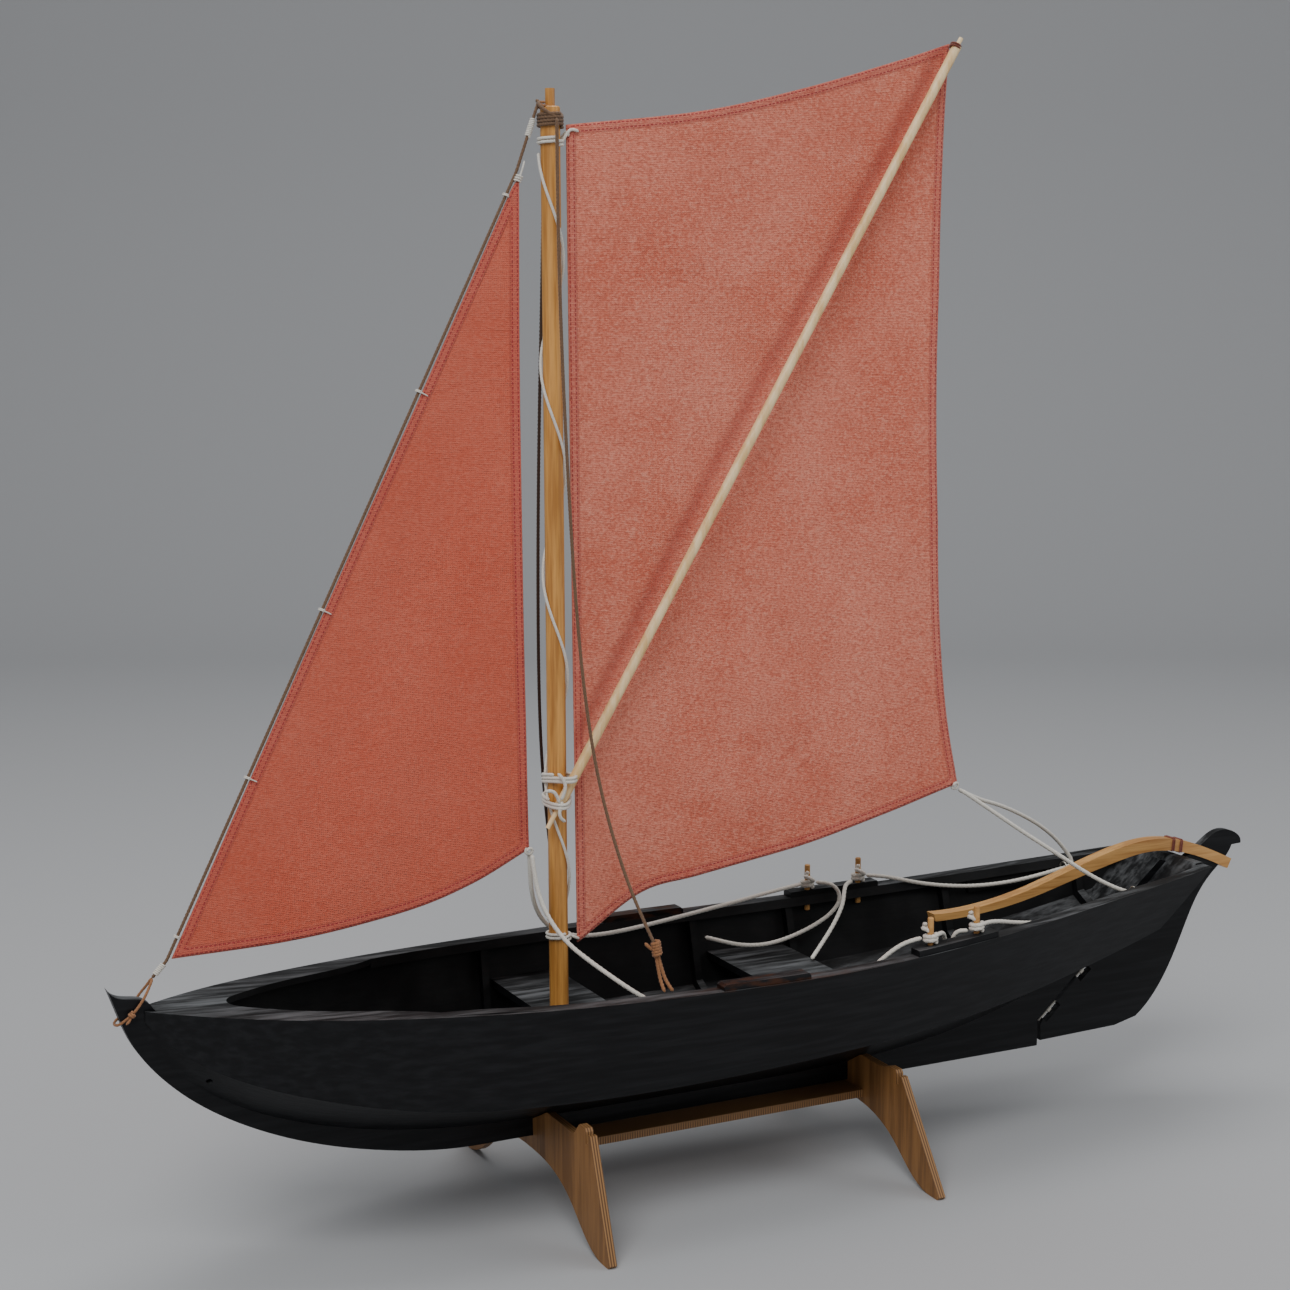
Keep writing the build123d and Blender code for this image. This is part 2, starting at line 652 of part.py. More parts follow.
def hollow(start, end, depth, side=1.0):
    """A gentle curve between two corners of a sail, hollowed by depth."""
    a, b = Vector(start[0], 0, start[1]), Vector(end[0], 0, end[1])
    normal = (b - a).normalized().cross(Vector(0, 1, 0)) * side
    middle = (a + b) * 0.5 + normal * depth
    return ThreePointArc(a, middle, b)


def make_mainsail():
    edges = [hollow(MAIN_THROAT, MAIN_PEAK, 7.0, -1.0), hollow(MAIN_PEAK, MAIN_CLEW, 13.0, -1.0)]
    edges += [hollow(MAIN_CLEW, MAIN_TACK, 5.0, -1.0), line_xz(MAIN_TACK, MAIN_THROAT)]
    return solid_of_wire(edges, CLOTH)


def make_jib():
    edges = [line_xz(JIB_TACK, JIB_HEAD), hollow(JIB_HEAD, JIB_CLEW, 2.0, -1.0)]
    edges.append(hollow(JIB_CLEW, JIB_TACK, 13.0, 1.0))
    return solid_of_wire(edges, CLOTH)


def cord(points, diameter):
    """A rope: straight runs joined by tangent arcs as large as the runs allow."""
    corners = [Vector(*p) for p in points]
    radii = []
    for before, here, after in zip(corners, corners[1:], corners[2:]):
        first, second = here - before, after - here
        turn = math.radians(first.get_angle(second))
        radii.append(0.45 * min(first.length, second.length) / math.tan(turn / 2))
    path = FilletPolyline(*corners, radius=radii) if radii else Line(*corners)
    plane = Plane(origin=corners[0], z_dir=corners[1] - corners[0])
    rope = sweep(plane * Circle(diameter / 2), path=path)
    ideal = math.pi * diameter**2 / 4 * path.length
    small = min(radii) if radii else 0.0
    print(f"rope length {path.length:.1f}, tightest {small:.1f}, volume ratio {rope.volume / ideal:.3f}")
    return rope


def upright(point, y=0.0):
    return point[0], y, point[1]


def stay_point(share):
    """A point on the stay where the jib's luff runs along it, 0 at the head."""
    x = STAY_HEAD[0] + (STAY_TACK[0] - STAY_HEAD[0]) * share
    z = STAY_HEAD[1] + (STAY_TACK[1] - STAY_HEAD[1]) * share
    return x, 0.0, z


def ring_on_stay(share):
    along = Vector(*upright(STAY_HEAD)) - Vector(*upright(STAY_TACK))
    return Plane(origin=stay_point(share), z_dir=along) * Torus(STAY_R + ROBAND_SLACK + ROBAND_R, ROBAND_R)


def make_forestay():
    corners = [upright(p) for p in (STAY_TOP, STAY_HEAD, STAY_TACK, STAY_FOOT)]
    stay = rod_between(corners[0], corners[1], STAY_R)
    for start, end in zip(corners[1:], corners[2:]):
        stay = stay + rod_between(start, end, STAY_R) + Pos(*start) * Sphere(STAY_R)
    return stay


def make_whipping(start, end, share_from, share_to):
    a, b = Vector(*upright(start)), Vector(*upright(end))
    first, last = a + (b - a) * share_from, a + (b - a) * share_to
    return rod_between(tuple(first), tuple(last), WHIPPING_R) - rod_between(tuple(a), tuple(b), STAY_R)


def pin_turns(x):
    px, py, pz = pin_place(x)
    ring = Torus(PIN_R + CORD_D / 2 + 0.2, CORD_D / 2)
    first = pz + PAD_H + CORD_D / 2 + 0.2
    return [Pos(px, py, first + n * (CORD_D + 0.05)) * ring for n in range(2)]


LACING_PATH_R = MAST_R + LACING_R + SEAT_PLAY
LASHING_PATH_R = MAST_R + LASHING_R + SEAT_PLAY
COLLAR_IN_R = LACING_PATH_R + LACING_R + SEAT_PLAY


def make_lacing():
    """The luff lacing: long turns round the mast from tack to throat."""
    per_turn = 8
    low, high = LACING_Z
    count = round((high - low) / LACING_PITCH * per_turn)
    points = []
    for i in range(count + 1):
        angle = math.radians(LACING_PHASE) - 2 * math.pi * i / per_turn
        z = low + LACING_PITCH * i / per_turn
        points.append((MAST_X + LACING_PATH_R * math.cos(angle), LACING_PATH_R * math.sin(angle), z))
    return cord(points, 2 * LACING_R)


def make_snotter(z, tall):
    """A band that holds the sprit's heel against the mast."""
    share = (z - SPRIT_HEEL[2]) / (SPRIT_PEAK[2] - SPRIT_HEEL[2])
    sprit_x = SPRIT_HEEL[0] + (SPRIT_PEAK[0] - SPRIT_HEEL[0]) * share
    sprit_y = SPRIT_HEEL[1] + (SPRIT_PEAK[1] - SPRIT_HEEL[1]) * share
    clear = tall * (SPRIT_PEAK[0] - SPRIT_HEEL[0]) / (SPRIT_PEAK[2] - SPRIT_HEEL[2])

    def loop(extra):
        mast_side = Pos(MAST_X, 0, z) * Circle(COLLAR_IN_R + extra)
        sprit_side = Pos(sprit_x, sprit_y, z) * Circle(SPRIT_R + clear + 1.0 + extra)
        return extrude(make_hull(mast_side.edges() + sprit_side.edges()), amount=tall)
    return loop(COLLAR_T) - loop(0.0)


# Routes of the free ropes.
MAIN_SHEET_STARBOARD = [(171, 2, 237), (191, 9, 227), (215, 18, 219), (240, 27, 208), (263, 35, 196),
                        (282, 41, 183), (294, 43, 171), (299, 41.5, 163), (295, 40.3, 160), (286, 40.3, 159),
                        (268, 44, 155), (245, 49, 151.5), (218, 53.5, 151), (194, 58, 153.5), (174, 61.5, 157.5),
                        (158, 65.5, 162), (147, 69.5, 163.7), (140.8, 72.6, 163.9)]
MAIN_SHEET_PORT = [(171, -2, 237), (190, -8.5, 223), (213, -16, 206), (236, -24, 190), (256, -31, 175.5),
                   (273, -37, 165.5), (286, -40.2, 160.3), (295, -40.2, 158), (297, -41, 152), (290, -42.5, 149.5),
                   (274, -45, 149), (252, -48.5, 149.5), (226, -53, 151), (196, -58, 154), (174, -61.5, 158),
                   (158, -65.5, 162), (147, -69.5, 163.7), (140.8, -72.6, 163.9)]
JIB_SHEET_PORT = [(-150.5, -2, 228), (-150, -4.5, 214), (-148, -9.5, 199), (-144, -18, 186), (-138, -31, 175),
                  (-130, -47, 167), (-121, -62, 159), (-108, -71, 149), (-92, -75, 140), (-73, -75.5, 134),
                  (-50, -75, 130.5), (-25, -74.5, 129), (0, -74, 129.5), (22, -73.5, 132), (42, -73, 138),
                  (58, -72.5, 147), (71, -73.5, 156), (81, -75.8, 161), (90.2, -77.6, 162.3)]
JIB_SHEET_STARBOARD = [(-150.5, 2, 228), (-149, 5, 210), (-144, 11, 192), (-134, 18, 177), (-120, 22.5, 167),
                       (-102, 26, 162), (-75, 32, 160), (-30, 44.5, 160), (20, 58, 161), (55, 67.5, 162),
                       (76, 73.7, 162.3), (90.2, 77.6, 162.3)]
JIB_TAIL_STARBOARD = [(101.8, 77, 162.3), (110, 73, 162.5), (116, 69, 157), (116, 67, 149), (109, 67.5, 141),
                      (98, 68, 135), (84, 67, 130.5), (66, 63, 128), (48, 59, 128), (31, 58, 130.5),
                      (18, 62, 134), (8, 67, 137)]
MAIN_TAIL_STARBOARD = [(129.2, 72.9, 160.9), (122, 68.5, 161.5), (116, 61.5, 158), (111, 54.5, 151.5),
                       (103, 49, 143.5), (94, 44, 136), (85, 39, 130), (77, 33, 126.5), (69, 26, 124.2)]
JIB_TAIL_PORT = [(101.8, -77, 162.3), (108, -73.5, 163), (113, -69.5, 159.5), (115.5, -67, 151), (116, -66, 141),
                 (115, -65.5, 134)]
MAIN_TAIL_PORT = [(129.2, -72.9, 160.9), (124, -69.5, 161.5), (121, -67, 156), (121, -65.5, 147),
                  (124, -64.5, 138), (128, -64, 130)]
SHROUD_PORT = [(-132, -9.9, 678), (-132, -9.9, 630), (-131.5, -10.6, 575), (-130.5, -12.6, 515), (-129, -15.6, 455),
               (-127.5, -19.6, 395), (-125, -26, 335), (-121, -34.5, 285), (-115, -46, 243), (-107, -60, 205),
               (-100, -72, 182)]
SHROUD_STARBOARD = [(-132, 9.9, 678), (-132.5, 10.5, 630), (-133, 13, 575), (-133, 18, 515), (-132, 24, 455),
                    (-130, 31, 395), (-127, 38.5, 335), (-122.5, 46.5, 285), (-115.5, 56, 243), (-107.5, 65.5, 205),
                    (-101, 73, 182)]


def make_lanyard(side):
    """The knot and lashing at a shroud's foot, made fast to the rail in two parts."""
    knot = Pos(-99.5, 73.5 * side, 177.5) * Sphere(3.2)
    knot = knot + rod_between((-99.8, 73.3 * side, 175), (-98.8, 75.0 * side, 164), 1.7)
    rail_y = rail_path(-96, PLANK + INWALE_W)[0] + 2.0
    for x in (-99.0, -92.0):
        foot = (x, rail_y * side, sheer(x)[1] + SHROUD_R + SEAT_PLAY)
        knot = knot + rod_between((-98.8, 75.0 * side, 165), foot, SHROUD_R)
    return knot


def make_stem_lashing():
    """The forestay's tail, taken round the stem head and knotted."""
    wire = 1.1
    half = KEEL_T / 2 + wire + SEAT_PLAY
    route = [(-393.5, 2.2, 176.5), (-397.0, half, 171.5), (-403.0, half, 164.0), (-413.0, half, 156.5)]
    loop = route + [(x, -y, z) for x, y, z in reversed(route)]
    lashing = Pos(*loop[0]) * Sphere(wire)
    for start, end in zip(loop, loop[1:]):
        lashing = lashing + rod_between(start, end, wire) + Pos(*end) * Sphere(wire)
    knot = Pos(-404.5, -half - 1.0, 162.5) * Sphere(2.4)
    return lashing + (knot - Pos(-404.5, 0, 162.5) * Box(20, KEEL_T + 2 * SEAT_PLAY, 20))


def mast_rings(low, count):
    step = 2 * LASHING_R + 0.2
    return [Pos(MAST_X, 0, low + step * n) * Torus(LASHING_PATH_R, LASHING_R) for n in range(count)]


os.makedirs("parts", exist_ok=True)

save("keel", keel)
save("stem", stem)
save("skeg", skeg)
save("side_plank_port", mirrored(side_starboard))
save("side_plank_starboard", side_starboard)
save("bottom_plank_port", mirrored(bottom_starboard))
save("bottom_plank_starboard", bottom_starboard)
save("transom", transom)
save("stern_knee", stern_knee)
save("foredeck", make_foredeck())
save("inwale_port", mirrored(inwale_starboard))
save("inwale_starboard", inwale_starboard)
for number, frame in enumerate(frames, 1):
    save(f"frame_{number}", frame)
save("mast_thwart", mast_thwart)
save("middle_thwart", middle_thwart)
save("mast_step", mast_step)
save("quarter_blocks", group([quarter_block, mirrored(quarter_block)]))
save("rail_pads", group([p for pad in (fore_pad, aft_pad) for p in (pad, mirrored(pad))]))
save("belaying_pins", group([p for pin in pins for p in (pin, mirrored(pin))]))
save("sheet_eyes", group([eye, mirrored(eye)]))
save("gudgeons", group(gudgeons))
save("rudder_blade", blade)
save("pintles", group([make_pintle(up, half) for up, half in zip(GUDGEON_AT, NOTCH_HALF)]))
save("tiller", tiller)
save("tiller_bands", group(bands))
save("cradle_front", cradles[0])
save("cradle_rear", cradles[1])
save("stretcher", stretcher)
save("mast", make_mast())
save("sprit", make_sprit())
save("mainsail", make_mainsail())
save("jib", make_jib())
save("luff_lacing", make_lacing())
save("throat_lashing", group(mast_rings(664.0, 2)))
save("snotter", group([make_snotter(z, COLLAR_H) for z in SNOTTER_Z]))
save("tack_lashing", group(mast_rings(172.0, 2)))
save("forestay", make_forestay())
save("stay_whippings", group([make_whipping(STAY_TOP, STAY_HEAD, 0.25, 0.50), make_whipping(STAY_TACK, STAY_FOOT, 0.20, 0.80)]))
save("stem_lashing", make_stem_lashing())
save("masthead_lashing", group(mast_rings(673.5, 3)))
save("jib_robands", group([ring_on_stay(share) for share in ROBAND_AT]))
save("shroud_port", cord(SHROUD_PORT, 2 * SHROUD_R))
save("shroud_starboard", cord(SHROUD_STARBOARD, 2 * SHROUD_R))
save("shroud_lanyards", group([make_lanyard(-1), make_lanyard(1)]))
save("main_sheet_port", cord(MAIN_SHEET_PORT, CORD_D))
save("main_sheet_starboard", cord(MAIN_SHEET_STARBOARD, CORD_D))
save("jib_sheet_port", cord(JIB_SHEET_PORT, CORD_D))
save("jib_sheet_starboard", cord(JIB_SHEET_STARBOARD, CORD_D))
save("jib_tail_port", cord(JIB_TAIL_PORT, CORD_D))
save("jib_tail_starboard", cord(JIB_TAIL_STARBOARD, CORD_D))
save("main_tail_port", cord(MAIN_TAIL_PORT, CORD_D))
save("main_tail_starboard", cord(MAIN_TAIL_STARBOARD, CORD_D))
save("sheet_turns", group([t for x in PIN_X for ring in pin_turns(x) for t in (ring, mirrored(ring))]))
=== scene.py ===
import bpy
import math
import numpy as np
from mathutils import Matrix, Vector


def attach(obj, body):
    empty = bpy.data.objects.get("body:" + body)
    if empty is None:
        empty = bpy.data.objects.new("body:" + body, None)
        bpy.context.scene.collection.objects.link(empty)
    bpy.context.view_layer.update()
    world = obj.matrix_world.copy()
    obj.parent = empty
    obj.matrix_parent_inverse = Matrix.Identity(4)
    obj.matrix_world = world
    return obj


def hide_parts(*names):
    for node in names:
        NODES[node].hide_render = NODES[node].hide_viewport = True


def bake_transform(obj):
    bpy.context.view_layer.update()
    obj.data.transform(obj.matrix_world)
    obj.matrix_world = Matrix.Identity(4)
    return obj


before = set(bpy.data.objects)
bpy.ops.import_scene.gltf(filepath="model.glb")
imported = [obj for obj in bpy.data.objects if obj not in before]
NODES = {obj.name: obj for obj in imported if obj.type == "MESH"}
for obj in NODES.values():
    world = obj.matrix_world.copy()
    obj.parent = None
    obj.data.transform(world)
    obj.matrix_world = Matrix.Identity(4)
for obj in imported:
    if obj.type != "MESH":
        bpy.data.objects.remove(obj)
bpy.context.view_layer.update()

# ---- camera ----
YAW, PITCH, ROLL = math.radians(26.19), math.radians(8.49), math.radians(-0.25)
EYE = Vector((-0.6941, -1.2687, 0.5657))
ahead = Vector((math.sin(YAW) * math.cos(PITCH), math.cos(YAW) * math.cos(PITCH), -math.sin(PITCH)))
side = Vector((math.cos(YAW), -math.sin(YAW), 0))
above = side.cross(ahead)
right = side * math.cos(ROLL) + above * math.sin(ROLL)
top = -side * math.sin(ROLL) + above * math.cos(ROLL)
camera_data = bpy.data.cameras.new("camera")
camera_data.lens = 63.02
camera_data.sensor_width = 36
camera = bpy.data.objects.new("camera", camera_data)
bpy.context.collection.objects.link(camera)
camera.matrix_world = Matrix.Translation(EYE) @ Matrix((right, top, -ahead)).transposed().to_4x4()
bpy.context.scene.camera = camera


# ---- curves and tubes ----
def b_spline(points, step=0.0012):
    """Points read from a NURBS spline with these control points, spaced evenly along it."""
    curve = bpy.data.curves.new("route", "CURVE")
    curve.dimensions = "3D"
    curve.resolution_u = 24
    spline = curve.splines.new("NURBS")
    spline.points.add(len(points) - 1)
    for point, place in zip(spline.points, points):
        point.co = (*place, 1)
    spline.order_u = 3
    spline.use_endpoint_u = True
    holder = bpy.data.objects.new("route", curve)
    mesh = bpy.data.meshes.new_from_object(holder)
    line = [tuple(v.co) for v in mesh.vertices]
    bpy.data.meshes.remove(mesh)
    bpy.data.objects.remove(holder)
    bpy.data.curves.remove(curve)
    return resample(line, step)


def resample(line, step):
    line = np.array(line, float)
    seg = np.linalg.norm(np.diff(line, axis=0), axis=1)
    s = np.concatenate([[0], np.cumsum(seg)])
    count = max(int(s[-1] / step), 2)
    at = np.linspace(0, s[-1], count + 1)
    return np.stack([np.interp(at, s, line[:, k]) for k in range(3)], axis=1)


def smooth(line, rounds=2):
    line = np.array(line, float)
    for _ in range(rounds):
        line[1:-1] = (line[:-2] + 2 * line[1:-1] + line[2:]) / 4
    return line


def new_mesh(name, verts, faces, material, shade=True):
    mesh = bpy.data.meshes.new(name)
    mesh.from_pydata([tuple(v) for v in verts], [], [tuple(f) for f in faces])
    mesh.update()
    if shade:
        mesh.shade_smooth()
    obj = bpy.data.objects.new(name, mesh)
    bpy.context.collection.objects.link(obj)
    obj.data.materials.append(material)
    return obj


def tube_data(path, radius, strands=3, pitch=0.0, sides=15, depth=0.2, phase=0.0, ends=True):
    """Vertices and faces of a twisted rope along a path."""
    path = np.array(path, float)
    tangent = np.gradient(path, axis=0)
    tangent /= np.linalg.norm(tangent, axis=1)[:, None]
    seg = np.linalg.norm(np.diff(path, axis=0), axis=1)
    along = np.concatenate([[0], np.cumsum(seg)])
    ref = np.array([0, 0, 1.0]) if abs(tangent[0][2]) < 0.9 else np.array([1.0, 0, 0])
    u = np.cross(tangent[0], ref)
    u /= np.linalg.norm(u)
    verts, faces = [], []
    theta = np.arange(sides) * 2 * math.pi / sides
    for i, (p, t) in enumerate(zip(path, tangent)):
        u = u - t * (u @ t)
        u /= np.linalg.norm(u)
        v = np.cross(t, u)
        turn = phase + (2 * math.pi * along[i] / pitch if pitch else 0.0)
        lobes = 1 - depth + depth * np.abs(np.cos(strands / 2 * (theta - turn))) if pitch else np.ones(sides)
        end = min(along[i], along[-1] - along[i]) / radius
        cap = math.sqrt(max(1 - (1 - min(end, 1.0)) ** 2, 0.09)) if ends else 1.0
        r = radius * lobes * cap
        verts += [p + u * r[k] * math.cos(theta[k]) + v * r[k] * math.sin(theta[k]) for k in range(sides)]
    for i in range(len(path) - 1):
        for k in range(sides):
            a, b = i * sides + k, i * sides + (k + 1) % sides
            faces.append((a, b, b + sides, a + sides))
    faces.append(tuple(range(sides))[::-1])
    faces.append(tuple((len(path) - 1) * sides + k for k in range(sides)))
    return verts, faces


def rope(name, paths, radius, material, pitch=0.0, strands=3, sides=15, depth=0.2):
    """One object made of one or more rope runs."""
    verts, faces = [], []
    for n, path in enumerate(paths):
        v, f = tube_data(path, radius, strands, pitch, sides, depth, phase=1.7 * n)
        base = len(verts)
        verts += v
        faces += [tuple(k + base for k in face) for face in f]
    return new_mesh(name, verts, faces, material)


# ---- material helpers ----
class Nodes:
    def __init__(self, name):
        self.material = bpy.data.materials.new(name)
        self.material.use_nodes = True
        self.tree = self.material.node_tree
        self.shader = self.tree.nodes["Principled BSDF"]

    def add(self, kind, inputs=(), **settings):
        node = self.tree.nodes.new(kind)
        for key, value in settings.items():
            setattr(node, key, value)
        for key, value in dict(inputs).items():
            self.put(node.inputs[key], value)
        return node

    def put(self, socket, value):
        if isinstance(value, bpy.types.NodeSocket):
            self.tree.links.new(value, socket)
        else:
            socket.default_value = value

    def math(self, operation, *values, clamp=False):
        node = self.add("ShaderNodeMath", operation=operation, use_clamp=clamp)
        for i, value in enumerate(values):
            self.put(node.inputs[i], value)
        return node.outputs[0]

    def mix(self, factor, a, b):
        node = self.add("ShaderNodeMix", data_type="RGBA")
        self.put(node.inputs[0], factor)
        self.put(node.inputs[6], a)
        self.put(node.inputs[7], b)
        return node.outputs[2]

    def ramp(self, value, low, high):
        node = self.add("ShaderNodeMapRange", clamp=True, interpolation_type="SMOOTHSTEP")
        self.put(node.inputs["Value"], value)
        node.inputs["From Min"].default_value = low
        node.inputs["From Max"].default_value = high
        return node.outputs["Result"]

    def noise(self, vector, scale, detail=3.0, stretch=(1, 1, 1), roughness=0.5):
        mapping = self.add("ShaderNodeMapping", {"Vector": vector, "Scale": stretch})
        node = self.add("ShaderNodeTexNoise", {"Vector": mapping.outputs[0], "Scale": scale, "Detail": detail,
                                               "Roughness": roughness})
        return node.outputs["Fac"]

    def position(self):
        return self.add("ShaderNodeTexCoord").outputs["Object"]

    def bump(self, height, strength, distance, normal=None):
        node = self.add("ShaderNodeBump", {"Height": height, "Strength": strength, "Distance": distance})
        if normal is not None:
            self.put(node.inputs["Normal"], normal)
        return node.outputs["Normal"]

    def finish(self, colour, roughness, normal=None):
        self.put(self.shader.inputs["Base Color"], colour)
        self.put(self.shader.inputs["Roughness"], roughness)
        if normal is not None:
            self.put(self.shader.inputs["Normal"], normal)
        return self.material


def painted_black():
    m = Nodes("black_wood")
    where = m.position()
    grain = m.noise(where, 260, 4, (0.06, 1, 1))
    broad = m.noise(where, 14, 2, (0.4, 1, 1))
    split = m.add("ShaderNodeSeparateXYZ", {"Vector": where})
    normal = m.add("ShaderNodeSeparateXYZ", {"Vector": m.add("ShaderNodeNewGeometry").outputs["Normal"]})
    inward = m.math("MULTIPLY", normal.outputs[1], m.math("SIGN", split.outputs[1]))
    inside = m.math("SUBTRACT", 1.0, m.ramp(inward, -0.35, 0.05))
    colour = m.mix(m.ramp(grain, 0.35, 0.75), (0.0045, 0.0048, 0.0056, 1), (0.0115, 0.0120, 0.0135, 1))
    # dust on the inner faces, and dust with painted highlight on the faces that look up, in a lighter black
    cloudy = m.ramp(m.noise(where, 30, 4), 0.35, 0.75)
    dust_and_highlight_colour = m.mix(cloudy, (0.0050, 0.0052, 0.0055, 1), (0.0140, 0.0145, 0.0150, 1))
    up = m.ramp(normal.outputs[2], 0.5, 0.95)
    dust_and_highlight_mask = m.math("MAXIMUM", inside, m.math("MULTIPLY", up, 0.9))
    colour = m.mix(dust_and_highlight_mask, colour, dust_and_highlight_colour)
    # brushed grey wear and painted highlight on the faces that look up, most of it inside the boat
    streaks = m.noise(where, 120, 5, (0.10, 1, 1), 0.65)
    wear_and_highlight = m.math("MULTIPLY", m.ramp(streaks, 0.40, 0.68), m.ramp(normal.outputs[2], 0.25, 0.85))
    wear_and_highlight = m.math("MULTIPLY", wear_and_highlight, m.ramp(m.noise(where, 16, 3), 0.25, 0.55))
    colour = m.mix(wear_and_highlight, colour, (0.120, 0.125, 0.130, 1))
    off_middle = m.math("ABSOLUTE", m.math("ADD", split.outputs[0], 0.02))
    rub_x = m.math("SUBTRACT", 1.0, m.ramp(off_middle, 0.02, 0.075))
    rub = m.math("MULTIPLY", rub_x, m.ramp(m.noise(where, 190, 3, (0.35, 1, 1)), 0.42, 0.62))
    rub = m.math("MULTIPLY", rub, m.ramp(split.outputs[2], 0.1505, 0.1525))
    colour = m.mix(m.math("MULTIPLY", rub, 0.85), colour, (0.060, 0.022, 0.010, 1))
    rough = m.math("ADD", 0.36, m.math("MULTIPLY", grain, 0.12))
    rough = m.math("ADD", rough, m.math("MULTIPLY", dust_and_highlight_mask, 0.16))
    bumps = m.math("ADD", m.math("MULTIPLY", grain, 0.7), m.math("MULTIPLY", broad, 1.5))
    m.shader.inputs["Specular IOR Level"].default_value = 0.20
    return m.finish(colour, rough, m.bump(bumps, 0.38, 0.0008))


def clear_wood(name, low, high, axis, rough, scale=160):
    m = Nodes(name)
    where = m.position()
    stretch = [1.0, 1.0, 1.0]
    stretch[axis] = 0.05
    grain = m.noise(where, scale, 5, tuple(stretch), 0.6)
    fine = m.noise(where, scale * 5, 2, tuple(stretch))
    both = m.math("ADD", m.math("MULTIPLY", grain, 0.75), m.math("MULTIPLY", fine, 0.25))
    colour = m.mix(m.ramp(both, 0.36, 0.62), low, high)
    return m.finish(colour, rough, m.bump(both, 0.2, 0.0003))


def plywood():
    m = Nodes("plywood")
    where = m.position()
    split = m.add("ShaderNodeSeparateXYZ", {"Vector": where})
    face = m.add("ShaderNodeSeparateXYZ", {"Vector": m.add("ShaderNodeNewGeometry").outputs["Normal"]})
    grain = m.noise(where, 150, 5, (1, 1, 0.07), 0.6)
    # the ply's own colours, darkened with painted shade to the tone of the ply in the shade of the hull
    front = m.mix(m.ramp(grain, 0.35, 0.65), (0.20, 0.090, 0.028, 1), (0.35, 0.165, 0.052, 1))
    layers = m.math("PINGPONG", m.math("ADD", split.outputs[0], 0.1531), 0.00087)
    stripes = m.ramp(layers, 0.0003, 0.00055)
    edge = m.mix(stripes, (0.12, 0.050, 0.016, 1), (0.36, 0.19, 0.072, 1))
    on_edge = m.math("SUBTRACT", 1.0, m.ramp(m.math("ABSOLUTE", face.outputs[0]), 0.4, 0.7))
    return m.finish(m.mix(on_edge, front, edge), 0.55, m.bump(grain, 0.15, 0.0003))


def thread(name, low, high, rough=0.85, fuzz=0.3, scale=2600):
    m = Nodes(name)
    where = m.position()
    grain = m.noise(where, scale, 3)
    colour = m.mix(m.ramp(grain, 0.3, 0.7), low, high)
    m.shader.inputs["Sheen Weight"].default_value = fuzz
    return m.finish(colour, rough, m.bump(grain, 0.5, 0.0003))


